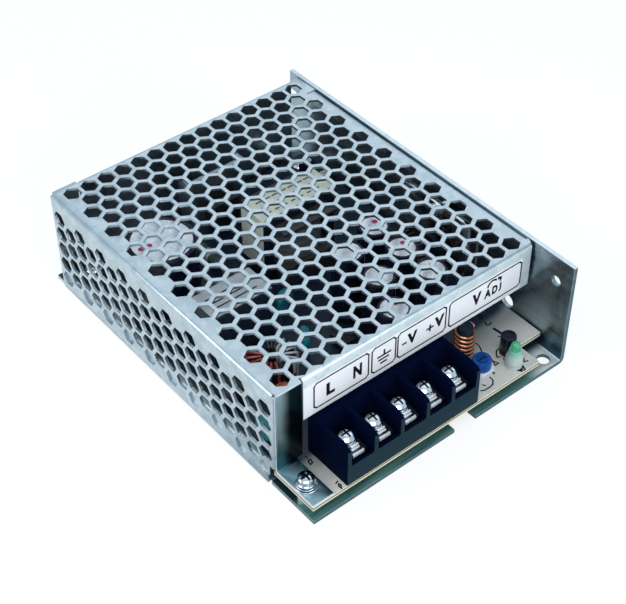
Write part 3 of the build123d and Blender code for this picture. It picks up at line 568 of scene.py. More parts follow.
    def band(self, points: list[Point], width: float, thick: float, way: Point = Z) -> None:
        """Adds a flat drawn line through points.

        Args:
            points: The line's points.
            width: Its width.
            thick: Its thickness off its plane.
            way: The plane's normal.
        """
        normal = Vector(way)
        for start, end in zip(points, points[1:]):
            a, b = Vector(start), Vector(end)
            along = (b - a).normalized()
            side = normal.cross(along) * width / 2
            reach = along * width / 2
            ring = [a - reach - side, b + reach - side, b + reach + side, a - reach + side]
            self.slab(ring, normal * thick)

    def slab(self, ring: list[Vector], rise: Vector) -> None:
        """Adds a closed slab on a flat ring of points.

        Args:
            ring: The points of its foot.
            rise: From its foot to its top.
        """
        low = [self.mesh.verts.new(p) for p in ring]
        top = [self.mesh.verts.new(p + rise) for p in ring]
        self.mesh.faces.new(top)
        self.mesh.faces.new(low[::-1])
        for i in range(len(ring)):
            j = (i + 1) % len(ring)
            self.mesh.faces.new((low[i], low[j], top[j], top[i]))

    def letter(self, text: str, box: Corners, face: float, thick: float,
               swell: float) -> None:
        """Adds a letter that stands in X and Z on a face that looks to the front.

        Args:
            text: The letter.
            box: Its lowest X and Z, then its highest X and Z.
            face: The Y of the face.
            thick: How far it stands off the face.
            swell: How much its strokes are widened, as a share of its height.
        """
        curve = bpy.data.curves.new("letter", "FONT")
        curve.body, curve.extrude, curve.offset = text, 0.5, swell
        holder = bpy.data.objects.new("letter", curve)
        bpy.context.scene.collection.objects.link(holder)
        bpy.context.view_layer.update()
        seen = holder.evaluated_get(bpy.context.evaluated_depsgraph_get())
        data = bpy.data.meshes.new_from_object(seen)
        bpy.data.objects.remove(holder)
        lows, highs = ([pick(v.co[i] for v in data.vertices) for i in range(3)]
                       for pick in (min, max))
        x0, z0, x1, z1 = box
        for vert in data.vertices:
            s = [(vert.co[i] - lows[i]) / (highs[i] - lows[i]) for i in range(3)]
            vert.co = (x0 + s[0] * (x1 - x0), face - s[2] * thick, z0 + s[1] * (z1 - z0))
        self.mesh.from_mesh(data)
        bpy.data.meshes.remove(data)

    def done(self, slot: str, *nodes: str) -> bpy.types.Object:
        """Makes the object, in metres, and lets it ride.

        Args:
            slot: The record's slot that the piece belongs to; not used.
            nodes: The CAD nodes that it stands for.

        Returns:
            The finished object.
        """
        bmesh.ops.recalc_face_normals(self.mesh, faces=self.mesh.faces)
        bmesh.ops.scale(self.mesh, vec=(MM, MM, MM), verts=self.mesh.verts)
        data = bpy.data.meshes.new(self.name)
        self.mesh.to_mesh(data)
        self.mesh.free()
        return hand_over(self.name, data, self.finishes, self.body, nodes)


def hand_over(name: str, data: bpy.types.Mesh, finishes: list[Finish], body: str,
              nodes: Iterable[str]) -> bpy.types.Object:
    """Makes a finished mesh into an object that rides on its body.

    Args:
        name: The object's name.
        data: Its mesh, in metres.
        finishes: The finishes of its material slots, or none where the mesh has its own.
        body: The body that it rides on.
        nodes: The CAD nodes that it stands for.

    Returns:
        The object.
    """
    data.name = name
    data.shade_smooth()
    data.set_sharp_from_angle(angle=CREASE)
    for finish in finishes:
        data.materials.append(finish.material())
    made = bpy.data.objects.new(name, data)
    bpy.context.scene.collection.objects.link(made)
    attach(made, body)
    if nodes:
        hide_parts(*nodes)
    LOG.info("piece %s: %d faces", name, len(data.polygons))
    return made


class Growth(Tree):
    """A Geometry Nodes tree that sets one shape on each of its places."""

    def __init__(self, name: str, **sizes: float) -> None:
        """Starts a tree.

        Args:
            name: The tree's name.
            sizes: The named inputs and their first values, in millimetres or as counts.
        """
        super().__init__(bpy.data.node_groups.new(name, "GeometryNodeTree"))
        self.name, self.sizes = name, sizes
        sockets = self.tree.interface
        sockets.new_socket("Places", in_out="INPUT", socket_type="NodeSocketGeometry")
        for size, value in sizes.items():
            kind = "NodeSocketInt" if isinstance(value, int) else "NodeSocketFloat"
            sockets.new_socket(size, in_out="INPUT", socket_type=kind)
        sockets.new_socket("Shape", in_out="OUTPUT", socket_type="NodeSocketGeometry")
        self.inputs = self.node("NodeGroupInput")
        self.output = self.node("NodeGroupOutput")

    def size(self, name: str) -> Socket:
        """Returns the socket of a named input."""
        return self.inputs.outputs[name]

    def math(self, kind: str, first: object, second: object = 0.0) -> Socket:
        """Returns the result of a sum on sockets or numbers."""
        return self.out("ShaderNodeMath", {0: first, 1: second}, operation=kind)

    def times(self, first: object, second: object) -> Socket:
        """Returns the product of two sockets or numbers."""
        return self.math("MULTIPLY", first, second)

    def vector(self, x: object = 0.0, y: object = 0.0, z: object = 0.0) -> Socket:
        """Returns a vector of three sockets or numbers."""
        return self.out("ShaderNodeCombineXYZ", {"X": x, "Y": y, "Z": z})

    def moved(self, shape: Socket, place: object, turn: Point = (0.0, 0.0, 0.0)) -> Socket:
        """Returns a shape that is turned and then moved."""
        return self.out("GeometryNodeTransform", {
            "Geometry": shape, "Translation": place, "Rotation": turn})

    def joined(self, *shapes: Socket) -> Socket:
        """Returns several shapes as one.

        Args:
            shapes: The shapes.

        Returns:
            The socket with the whole.
        """
        made = self.node("GeometryNodeJoinGeometry")
        for shape in shapes:
            self.tree.links.new(shape, made.inputs[0])
        return made.outputs[0]

    def scored(self, shape: Socket, width: str, top: str) -> Socket:
        """Cuts a cross into the top of a shape, as deep and long as Depth and Reach say.

        Args:
            shape: The shape.
            width: The named input with the width of the cross.
            top: The named input with the height of the shape's top.

        Returns:
            The socket with what is left.
        """
        made = self.node("GeometryNodeMeshBoolean", {0: shape}, operation="DIFFERENCE",
                         solver="EXACT")
        long, deep = (self.times(self.size(name), 2.0) for name in ("Reach", "Depth"))
        wide = self.size(width)
        for size in ((long, wide, deep), (wide, long, deep)):
            bar = self.out("GeometryNodeMeshCube", {"Size": self.vector(*size)})
            self.tree.links.new(self.moved(bar, self.vector(z=self.size(top))), made.inputs[1])
        return made.outputs[0]

    def swept(self, path: Socket) -> Socket:
        """Returns a round wire along a path, with Wire as its radius."""
        circle = self.out("GeometryNodeCurvePrimitiveCircle", {
            "Resolution": WIRE_SIDES, "Radius": self.size("Wire")})
        return self.out("GeometryNodeCurveToMesh", {
            "Curve": path, "Profile Curve": circle, "Fill Caps": True})

    def close(self, shape: Socket, finish: Finish, second: Finish | None = None) -> "Growth":
        """Sets the shape on each place and ends the tree.

        Args:
            shape: The shape.
            finish: Its finish.
            second: The finish of the faces that the attribute second marks.

        Returns:
            The growth itself.
        """
        spots = self.out("GeometryNodeInstanceOnPoints", {
            "Points": self.size("Places"), "Instance": shape})
        real = self.out("GeometryNodeRealizeInstances", {"Geometry": spots})
        painted = self.out("GeometryNodeSetMaterial", {
            "Geometry": real, "Material": finish.material()})
        if second:
            chosen = self.out("GeometryNodeInputNamedAttribute", {"Name": "second"},
                              data_type="BOOLEAN")
            painted = self.out("GeometryNodeSetMaterial", {
                "Geometry": painted, "Selection": chosen, "Material": second.material()})
        self.tree.links.new(painted, self.output.inputs[0])
        return self

    def grow(self, name: str, slot: str, places: Iterable[Point], *nodes: str,
             body: str = "supply", turn: Matrix | None = None,
             **sizes: float) -> bpy.types.Object:
        """Grows the shape and makes it one plain mesh.

        Args:
            name: The piece's name.
            slot: The record's slot that it belongs to; not used.
            places: Where the shape stands, in millimetres.
            nodes: The CAD nodes that it stands for.
            body: The body that it rides on.
            turn: A rotation of the whole, about the first place.
            sizes: Values of the named inputs, in millimetres, or as they are where they
                count or turn.

        Returns:
            The finished object.
        """
        spots = [Vector(p) * MM for p in places]
        first = spots[0]
        seed = bpy.data.meshes.new(name)
        seed.from_pydata([tuple(p - first) for p in spots], [], [])
        holder = bpy.data.objects.new(name, seed)
        bpy.context.scene.collection.objects.link(holder)
        modifier = holder.modifiers.new("growth", "NODES")
        modifier.node_group = self.tree
        chosen = self.sizes | sizes
        for item in self.tree.interface.items_tree:
            if item.in_out == "INPUT" and item.name in chosen:
                value = chosen[item.name]
                plain = isinstance(value, int) or item.name in PLAIN_INPUTS
                modifier[item.identifier] = value if plain else value * MM
        bpy.context.view_layer.update()
        seen = holder.evaluated_get(bpy.context.evaluated_depsgraph_get())
        data = bpy.data.meshes.new_from_object(seen)
        holder.modifiers.clear()
        bpy.data.objects.remove(holder)
        turned = turn.to_4x4() if turn else Matrix.Identity(4)
        data.transform(Matrix.Translation(first) @ turned)
        return hand_over(name, data, [], body, nodes)


def screw_growth(finish: Finish) -> Growth:
    """Makes the tree of a screw with a cross recess, whose seat is its zero height.

    Args:
        finish: The screw's finish.

    Returns:
        The tree.
    """
    tree = Growth("cross_screw", Radius=2.6, Height=1.9, Foot=2.6, Dome=0.42, Reach=1.45,
                  Slot=0.6, Depth=1.0, Shank=1.2, Length=4.0)
    radius, height = tree.size("Radius"), tree.size("Height")
    half = tree.times(height, 0.5)
    rod = tree.out("GeometryNodeMeshCylinder", {
        "Vertices": 40, "Side Segments": 1, "Fill Segments": 7, "Radius": radius,
        "Depth": height}, fill_type="TRIANGLE_FAN")
    spot = tree.out("GeometryNodeInputPosition")
    x, y, z = tree.node("ShaderNodeSeparateXYZ", {"Vector": spot}).outputs
    flat = tree.node("ShaderNodeVectorMath", {0: tree.vector(x, y)},
                     operation="LENGTH").outputs["Value"]
    share = tree.math("DIVIDE", flat, radius)
    drop = tree.times(tree.math("POWER", share, 3.0), tree.size("Dome"))
    domed = tree.out("GeometryNodeSetPosition", {
        "Geometry": tree.moved(rod, tree.vector(z=half)),
        "Selection": tree.math("GREATER_THAN", z, half),
        "Offset": tree.vector(z=tree.times(tree.times(drop, height), -1.0))})
    narrow = tree.math("DIVIDE", tree.size("Foot"), radius)
    footed = tree.out("GeometryNodeSetPosition", {
        "Geometry": domed, "Selection": tree.math("LESS_THAN", z, half),
        "Position": tree.vector(tree.times(x, narrow), tree.times(y, narrow), z)})
    # Faces inside the cross recess are marked to take painted shade.
    sunk = tree.math("LESS_THAN", flat, tree.size("Reach"))
    for kind, level in (("LESS_THAN", 0.86), ("GREATER_THAN", 0.2)):
        sunk = tree.times(sunk, tree.math(kind, z, tree.times(height, level)))
    head = tree.out("GeometryNodeStoreNamedAttribute", {
        "Geometry": tree.scored(footed, "Slot", "Height"), "Name": "second", "Value": sunk},
        data_type="BOOLEAN", domain="FACE")
    shank = tree.out("GeometryNodeMeshCylinder", {
        "Vertices": 28, "Radius": tree.size("Shank"), "Depth": tree.size("Length")})
    down = tree.vector(z=tree.times(tree.size("Length"), -0.5))
    return tree.close(tree.joined(head, tree.moved(shank, down)), finish, Finishes.recess)


def coil_growth(finish: Finish) -> Growth:
    """Makes the tree of an upright coil of round wire.

    Args:
        finish: The wire's finish.

    Returns:
        The tree.
    """
    tree = Growth("coil", Radius=2.8, Rise=8.0, Turns=6.0, Wire=0.37)
    radius = tree.size("Radius")
    path = tree.out("GeometryNodeCurveSpiral", {
        "Resolution": 28, "Rotations": tree.size("Turns"), "Start Radius": radius,
        "End Radius": radius, "Height": tree.size("Rise")})
    return tree.close(tree.swept(path), finish)


def loops_growth(finish: Finish) -> Growth:
    """Makes the tree of wire loops round part of a lying ring.

    Args:
        finish: The wire's finish.

    Returns:
        The tree.
    """
    tree = Growth(f"loops_{finish.name}", Radius=5.3, Width=4.3, Height=7.5, Wire=0.42,
                  Count=7, Start=0.5, Sweep=2.1)
    outline = tree.out("GeometryNodeCurvePrimitiveQuadrilateral", {
        "Width": tree.size("Width"), "Height": tree.size("Height")})
    soft = tree.out("GeometryNodeFilletCurve", {
        "Curve": outline, "Radius": tree.size("Wire"), "Count": 3}, mode="POLY")
    loop = tree.swept(tree.moved(soft, tree.vector(tree.size("Radius")),
                                 (math.pi / 2, 0.0, 0.0)))
    line = tree.out("GeometryNodeMeshLine", {
        "Count": tree.size("Count"), "Offset": (0.0, 0.0, 0.0)})
    share = tree.math("DIVIDE", tree.out("GeometryNodeInputIndex"),
                      tree.math("SUBTRACT", tree.size("Count"), 1.0))
    angle = tree.math("ADD", tree.times(share, tree.size("Sweep")), tree.size("Start"))
    spots = tree.out("GeometryNodeInstanceOnPoints", {
        "Points": line, "Instance": loop, "Rotation": tree.vector(z=angle)})
    return tree.close(spots, finish)


def vent_growth() -> Growth:
    """Makes the tree of a can's bare top, scored with a cross.

    Returns:
        The tree.
    """
    tree = Growth("can_top", Radius=4.2, Thick=0.3, Score=0.32, Depth=0.15, Reach=2.9)
    disc = tree.out("GeometryNodeMeshCylinder", {
        "Vertices": 36, "Radius": tree.size("Radius"), "Depth": tree.size("Thick")})
    stood = tree.moved(disc, tree.vector(z=tree.times(tree.size("Thick"), 0.5)))
    return tree.close(tree.scored(stood, "Score", "Thick"), Finishes.can_top)


def softened(name: str, node: str, finish: Finish, slot: str, edge: float,
             *tints: tuple[Finish, Test]) -> None:
    """Replaces a node by a copy whose edges are bevelled.

    Args:
        name: The new piece's name.
        node: The node.
        finish: Its finish.
        slot: The record's slot that it belongs to; passed on to Piece.done, which does not use it.
        edge: How far the edges are bevelled.
        tints: Other finishes, each with the test of the faces that take it.
    """
    piece = Piece(name, finish)
    piece.copy(node, edge)
    for tint in tints:
        piece.tint(*tint)
    piece.done(slot, node)


@dataclass
class SheetMetal:
    """Cover and chassis, with the small bevel of a sheared edge, in millimetres."""

    cover_edge: float = 0.05
    chassis_edge: float = 0.12
    front: float = -48.79
    gauge: float = 0.79
    return_end: float = -39.2
    wall: float = 47.0
    floor: float = 2.0

    def cover(self) -> None:
        """Builds the cover, with painted shade on its inside and painted reflection and shade on
        its front return.
        """
        low, high = span("cover")
        under, front = high.z - self.gauge, self.front
        softened(
            "cover_sheet", "cover", Finishes.sheet, "galvanised_steel", self.cover_edge,
            # Painted light on the front flange.
            (Finishes.flange_painted_light, lambda place, normal: place.y < front + 0.15
             and normal.y < -0.3),
            # Painted shade on the underside of the top and inside the left side.
            (Finishes.inner_painted_shade, lambda place, normal: normal.z < -0.6 and place.z > 30),
            (Finishes.inner_painted_shade, lambda place, normal: normal.x > 0.6
             and low.x + self.gauge - 0.05 < place.x < low.x + 1),
            # Painted reflection and shade on the front return.
            (Finishes.return_painted_reflection, lambda place, normal: place.x < self.return_end
             and place.y < front + 0.1 and place.z < under - 0.2),
            # Painted reflection and shade on the foot.
            (Finishes.foot_painted_shade, lambda place, normal: place.y < front - 0.5),
            # Painted highlight on the foot's edges.
            (Finishes.painted_highlight, lambda place, normal: place.y < front - 0.5
             and abs(normal.z) < 0.8))

    def chassis(self) -> None:
        """Builds the chassis, with painted shade and reflection on its floor and wall, and painted
        light on the floor's right part, its upstand and its flange edges.
        """
        low, high = span("chassis")
        softened(
            "chassis_sheet", "chassis", Finishes.chassis, "galvanised_steel", self.chassis_edge,
            # Painted light: the upstand's outer face takes the brighter cover steel.
            (Finishes.sheet, lambda place, normal: normal.x < -0.5 and place.x < low.x + 0.2),
            # Painted light on the right wall's top and front edges.
            (Finishes.flange_painted_light, lambda place, normal: place.x > self.wall + 0.5
             and (place.z > high.z - 0.2 or place.y < low.y + 0.2)),
            # Painted shade and reflection on the right wall's inner face.
            (Finishes.wall_painted_shade, lambda place, normal: normal.x < -0.5
             and place.x > self.wall),
            # Painted shade, reflection and light on the chassis floor.
            (Finishes.floor_painted_shade_and_light, lambda place, normal: normal.z > 0.7
             and place.z < self.floor))

    def build(self) -> None:
        """Builds the two sheets."""
        self.cover()
        self.chassis()


def board_top() -> float:
    """Returns the height of the board's top in millimetres."""
    return span("circuit_board")[1].z


@dataclass
class TerminalBlock:
    """Moulding, tags, clamps and screws of the five terminals, in millimetres."""

    screws: Growth
    edge: float = 0.2
    plate_gap: float = 0.14
    plate_in: float = 0.3
    tag_step: Point = (-1.6, 2.3, 1.35)
    clamp_step: Flat = (-1.0, 1.8)
    lip_thick: float = 0.4
    lip_down: float = 1.25
    reach: float = 1.75
    slot: float = 0.62
    depth: float = 1.2
    dome: float = 0.34
    shank: float = 1.7

    def tags(self) -> None:
        """Builds the tags with their turned down front lips."""
        piece = Piece("terminal_tag_plates", Finishes.shaded_tin)
        piece.copy("terminal_tags", 0.1)
        low, high = span("terminal_tags")
        for k in range(1, 6):
            clamp_low, clamp_high = span(f"terminal_clamp_{k}")
            x0, x1 = clamp_low.x - self.plate_in, clamp_high.x + self.plate_in
            piece.box((x0, low.y - self.lip_thick + 0.05, low.z - self.lip_down),
                      (x1, low.y + 0.05, high.z - 0.05), 0.12)
        before, foot = len(piece.mesh.faces), low.z - 0.1
        left, right, rise = self.tag_step
        for k in range(1, 6):
            x = middle(f"terminal_clamp_{k}").x
            piece.box((x + left, low.y - self.lip_thick - 0.05, foot),
                      (x + right, low.y + 0.1, foot + rise), 0.08)
        # The stepped lips take a painted highlight.
        piece.paint_from(Finishes.painted_highlight, before)
        piece.done("plated_tag", "terminal_tags")

    def clamp(self, k: int) -> None:
        """Builds one clamp's two thin plates and its front ledges with a painted highlight.

        Args:
            k: The terminal's number, from 1.
        """
        node, inner = f"terminal_clamp_{k}", self.plate_in
        low, high = span(node)
        thick = (high.z - low.z - self.plate_gap) / 2
        piece = Piece(f"clamp_plates_{k}", Finishes.shaded_tin, f"clamp_{k}")
        piece.copy(node, 0.1, (low, (high.x, high.y, low.z + thick)))
        piece.copy(node, 0.1, ((low.x + inner, low.y + inner, high.z - thick),
                               (high.x - inner, high.y - inner, high.z)))
        before = len(piece.mesh.faces)
        left, right = (middle(node).x + side for side in self.clamp_step)
        piece.box((left, low.y - 0.6, low.z + 0.06), (right, low.y + 0.2, low.z + 0.46), 0.06)
        piece.box((left + 0.2, low.y - 0.06, high.z - 0.5), (right, low.y + 0.5, high.z), 0.06)
        # The ledges take a painted highlight.
        piece.paint_from(Finishes.painted_highlight, before)
        piece.done("plated_tag", node)

    def screw(self, k: int) -> None:
        """Builds one terminal screw.

        Args:
            k: The terminal's number, from 1.
        """
        node = f"terminal_screw_{k}"
        low, high = span(node)
        seat, radius = span(f"terminal_clamp_{k}")[1].z, (high.x - low.x) / 2
        self.screws.grow(f"cross_screw_{k}", "plated_screw", [(*middle(node).xy, seat)], node,
                         body=f"screw_{k}", Radius=radius, Height=high.z - seat, Foot=radius,
                         Dome=self.dome, Reach=self.reach, Slot=self.slot, Depth=self.depth,
                         Shank=self.shank, Length=seat - low.z)

    def build(self) -> None:
        """Builds the moulding with rounded edges, and all that it holds."""
        front = span("terminal_block")[0].y
        # The moulding's front faces take a painted reflection.
        softened("terminal_moulding", "terminal_block", Finishes.block, "black_moulding",
                 self.edge, (Finishes.block_front_painted_reflection, lambda place, normal: normal.y < -0.5
                             and place.y < front + 0.3))
        self.tags()
        for k in range(1, 6):
            self.clamp(k)
            self.screw(k)


@dataclass
class CircuitBoard:
    """Board with its laminate edge, film and printed marks, in millimetres."""

    edge: float = 0.08
    line: float = 0.42
    rise: float = 0.03
    bar: tuple[Flat, Flat] = ((37.4, -46.0), (37.7, -48.8))
    bar_line: float = 0.9

    def marks(self) -> list[list[Flat]]:
        """Returns the printed lines of the open bay as points of X and Y."""
        return [
            [(35.3, -60.6), (34.4, -61.5), (34.7, -61.7), (35.5, -61.9)],
            [(32.9, -62.6), (32.4, -64.0), (30.9, -63.8), (30.9, -63.0), (32.9, -62.6)],
            [(32.3, -63.2), (31.3, -63.4)], [(30.2, -62.5), (30.6, -63.2)],
            [(37.8, -38.6), (38.7, -39.6), (37.8, -40.4), (37.1, -40.0), (37.8, -38.6)],
            [(37.3, -42.1), (36.8, -43.4), (37.5, -43.8), (38.7, -43.5)],
            [(36.1, -49.1), (36.7, -49.8)],
            [(28.9, -46.9), (28.8, -48.3), (28.3, -49.6), (27.4, -50.9)],
            [(28.2, -53.3), (27.5, -55.5), (28.2, -57.2), (26.8, -57.2), (27.5, -55.5)],
            [(24.0, -58.6), (24.5, -59.2), (24.0, -59.4)],
            [(22.2, -59.7), (22.0, -61.1), (20.9, -62.2), (19.3, -62.5), (17.3, -62.4),
             (16.4, -61.9)],
            [(18.4, -60.5), (18.8, -61.2)],
            [(33.0, -52.8), (31.3, -53.1), (30.3, -54.1), (29.6, -55.1), (30.3, -55.6)],
            [(30.5, -56.8), (30.8, -57.1)],
            [(-38.5, -50.5), (-38.0, -50.7), (-38.3, -51.9), (-39.2, -52.1), (-39.0, -51.0),
             (-38.5, -50.5)],
            [(-38.4, -48.9), (-38.3, -49.7)], [(-38.1, -61.7), (-37.3, -61.4)],
            [(-37.6, -62.3), (-37.4, -62.9), (-38.1, -64.0), (-38.1, -62.8), (-37.6, -62.3)],
        ]

    def build(self) -> None:
        """Builds the board, its print and the film under it."""
        # The board's top takes painted shade towards the back, under the cover.
        softened("board_laminate", "circuit_board", Finishes.board, "board", self.edge,
                 (Finishes.laminate, lambda place, normal: abs(normal.z) < 0.5),
                 (Finishes.solder_side, lambda place, normal: normal.z < -0.5))
        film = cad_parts["insulating_film"].data
        film.materials.clear()
        film.materials.append(Finishes.film.material())
        top = board_top()
        ink = Piece("board_print", Finishes.ink)
        for line in self.marks():
            ink.band([(x, y, top) for x, y in line], self.line, self.rise)
        ink.band([(x, y, top) for x, y in self.bar], self.bar_line, self.rise)
        ink.done("black_moulding")


@dataclass
class OpenBay:
    """Trimmer, lamp, capacitor and rod choke beside the terminals, in millimetres."""

    coils: Growth
    choke_turns: float = 5.9
    choke_wire: float = 0.4
    choke_top: float = 17.4
    clear: float = 0.05
    rim: float = 0.35

    def trimmer(self) -> None:
        """Builds the trimmer's base, body and rotor."""
        softened("trimmer_foot", "trimmer_base", Finishes.white, "trimmer_white", 0.15)
        softened("trimmer_case", "trimmer_body", Finishes.blue, "trimmer_blue", 0.2)
        low, high = span("trimmer_rotor")
        disc = Piece("trimmer_disc", Finishes.rotor, "adjuster")
        disc.copy("trimmer_rotor", 0.08, fit=((low.x, low.y, low.z + self.clear), high))
        disc.done("trimmer_blue", "trimmer_rotor")

    def lamp(self) -> None:
        """Builds the lamp's rounded lens and its ribbed, tapered holder."""
        low, high = span("lamp_holder")
        radius, rise = (high.x - low.x) / 2, high.z - low.z
        centre = middle("lamp_holder")
        holder = Piece("lamp_stand", Finishes.frosted)
        holder.lathe((centre.x, centre.y, low.z), [
            (0, 0), (radius, 0), (radius, 0.5), (radius - 0.25, 0.7), (radius - 0.25, 1.3),
            (radius, 1.5), (radius, rise * 0.52), (radius * 0.92, rise * 0.58),
            (1.8, rise - 0.1), (1.7, rise), (0, rise)])
        holder.done("lamp_holder", "lamp_holder")
        low, high = span("lamp")
        radius, rise = (high.x - low.x) / 2, high.z - low.z
        lens = Piece("lamp_lens", Finishes.lamp)
        dome = [(radius * math.cos(a), rise - radius * (1 - math.sin(a)))
                for a in (math.radians(12 * k) for k in range(8))]
        lens.lathe((centre.x, centre.y, low.z),
                   [(0, 0), (radius + 0.2, 0), (radius + 0.2, 0.45), (radius, 0.5), *dome,
                    (0, rise)])
        lens.done("lamp_green", "lamp")

    def choke(self) -> None:
        """Builds the rod choke with its open turns and leads."""
        softened("choke_rod", "rod_choke_core", Finishes.ferrite, "ferrite", 0.15)
        low, high = span("rod_choke_winding")
        x, y = middle("rod_choke_winding").xy
        wire = self.choke_wire
        radius, start = (high.x - low.x) / 2 - wire, low.z + wire
        self.coils.grow("choke_turns", "copper_wire", [(x, y, start)], "rod_choke_winding",
                        Radius=radius, Turns=self.choke_turns,
                        Rise=self.choke_top - start - wire, Wire=wire)
        leads = Piece("choke_leads", Finishes.copper)
        end = Vector((x + radius, y, start))
        leads.tube([end, end + Vector((0.3, 0, -0.05)), end + Vector((0.4, 0, -0.3))],
                   wire * 0.95)
        leads.done("copper_wire")
        dab, top = Piece("choke_dab", Finishes.pink), span("rod_choke_core")[1].z
        dab.box((x + 1.9, y - 1.1, top - 1.3), (x + 2.9, y + 0.9, top - 0.3), 0.25)
        dab.done("orange_lacquer")

    def build(self) -> None:
        """Builds every part of the bay."""
        self.trimmer()
        self.lamp()
        self.choke()
        build_cans("bay_can", "bay_capacitor", None, 2.4, (), self.rim)


def build_cans(name: str, node: str, tops: Growth | None, radius: float, places: Iterable[Flat],
               rim: float, stripe: float = 0.9) -> None:
    """Builds electrolytics with sleeves, rolled rims and scored tops.

    Args:
        name: The start of the pieces' names.
        node: The node that they stand for.
        tops: The tree of a scored top, or nothing where the sleeve covers it.
        radius: The cans' radius.
        places: X and Y of each can, or nothing for one in the middle of the node.
        rim: The width of the sleeve's rolled rim.
        stripe: Half of the pale stripe's width, as an angle.
    """
    low, high = span(node)
    spots = list(places) or [tuple(middle(node).xy)]
    rise, bare = high.z - low.z, radius - rim - 0.5
    sleeve, groove = Piece(f"{name}_sleeves", Finishes.sleeve), min(2.2, rise * 0.2)
    for x, y in spots:
        for face in sleeve.lathe((x, y, low.z), [
                (0, 0), (radius - 0.3, 0), (radius, 0.4), (radius, groove),
                (radius * 0.93, groove + 0.5), (radius, groove + 1.0), (radius, rise - 0.6),
                (radius - 0.15, rise - 0.15), (radius - 0.4, rise), (bare + 0.1, rise),
                (bare, rise - 0.35), (0, rise - 0.35)]):
            place = face.calc_center_median()
            if (low.z + groove + 1 < place.z < high.z - 0.6
                    and abs(math.atan2(place.y - y, place.x - x)) < stripe):
                sleeve.paint(Finishes.stripe, [face])
    sleeve.done("sleeve", node)
    if tops:
        tops.grow(f"{name}_tops", "aluminium", [(x, y, high.z - 0.34) for x, y in spots],
                  Radius=bare, Thick=0.22, Score=bare * 0.09, Depth=0.12, Reach=bare * 0.72)


@dataclass
class Fasteners:
    """Screws, washers and standoffs of the board and the case, in millimetres."""

    screws: Growth
    front: Growth
    foot_head: float = 2.35
    foot_top: float = 11.8
    stack_top: float = 9.5
    bore: float = 1.7
    edge: float = 0.08

    def washers(self) -> None:
        """Builds the stack of washers on the foot, with painted shade in the gaps between them."""
        low, high = span("foot_washer")
        radius, rise = (high.x - low.x) / 2, self.stack_top - low.z
        bore, place = self.bore, (*middle("foot_washer").xy, low.z)
        piece = Piece("foot_washers", Finishes.screw)
        for outer, start, end, finish in (
                (radius, 0.0, 0.4, Finishes.tag), (radius - 0.5, 0.4, 0.65, Finishes.recess),
                (radius - 0.35, 0.65, 1.05, Finishes.tag),
                (radius - 0.8, 1.05, 1.3, Finishes.recess),
                (radius - 0.65, 1.3, rise, Finishes.tag)):
            lip = min(self.edge, (end - start) / 3)
            ring = [(bore, start), (outer - lip, start), (outer, start + lip),
                    (outer, end - lip), (outer - lip, end), (bore, end), (bore, start)]
            piece.paint(finish, piece.lathe(place, ring, sides=48))
        piece.weld()
        piece.done("plated_screw", "foot_washer")

    def build(self) -> None:
        """Builds every fastener outside the terminals."""
        self.washers()
        top, seat = board_top(), self.stack_top
        self.front.grow("foot_cross_screw", "plated_screw",
                        [(*middle("foot_screw").xy, seat)], "foot_screw", Radius=self.foot_head,
                        Height=self.foot_top - seat, Foot=self.foot_head, Dome=0.26, Reach=1.7,
                        Slot=0.75, Depth=1.1, Shank=1.25, Length=seat - span("foot_screw")[0].z)
        low, high = span("board_screws")
        places = [(x, high.y - 2.6, top) for x in (low.x + 2.6, high.x - 2.6)]
        self.screws.grow("board_cross_screws", "plated_screw", places, "board_screws",
                         Radius=2.6, Height=high.z - top, Foot=2.6, Dome=0.45, Reach=1.6,
                         Slot=0.55, Depth=0.9, Shank=1.25, Length=top - low.z)
        low, high = span("wall_screw")
        radius, (_, y, z) = (high.z - low.z) / 2, middle("wall_screw")
        cone = radius - 1.45
        self.screws.grow("wall_cross_screw", "plated_screw", [(high.x - cone, y, z)],
                         "wall_screw", turn=ON_EDGE, Radius=radius, Height=cone, Foot=1.45,
                         Dome=0.0, Reach=1.5, Slot=0.5, Depth=0.8, Shank=1.45,
                         Length=high.x - cone - low.x)
        low, high = span("clamp_screw")
        _, y, z = middle("clamp_screw")
        self.screws.grow("clamp_cross_screw", "plated_screw", [(low.x + 1.8, y, z)],
                         "clamp_screw", turn=ON_EDGE.transposed(), Radius=2.4, Height=1.8,
                         Foot=2.4, Dome=0.42, Reach=1.4, Slot=0.5, Depth=0.8, Shank=1.4,
                         Length=high.x - low.x - 1.8)
        softened("hex_standoffs", "board_standoffs", Finishes.screw, "plated_screw", 0.1)


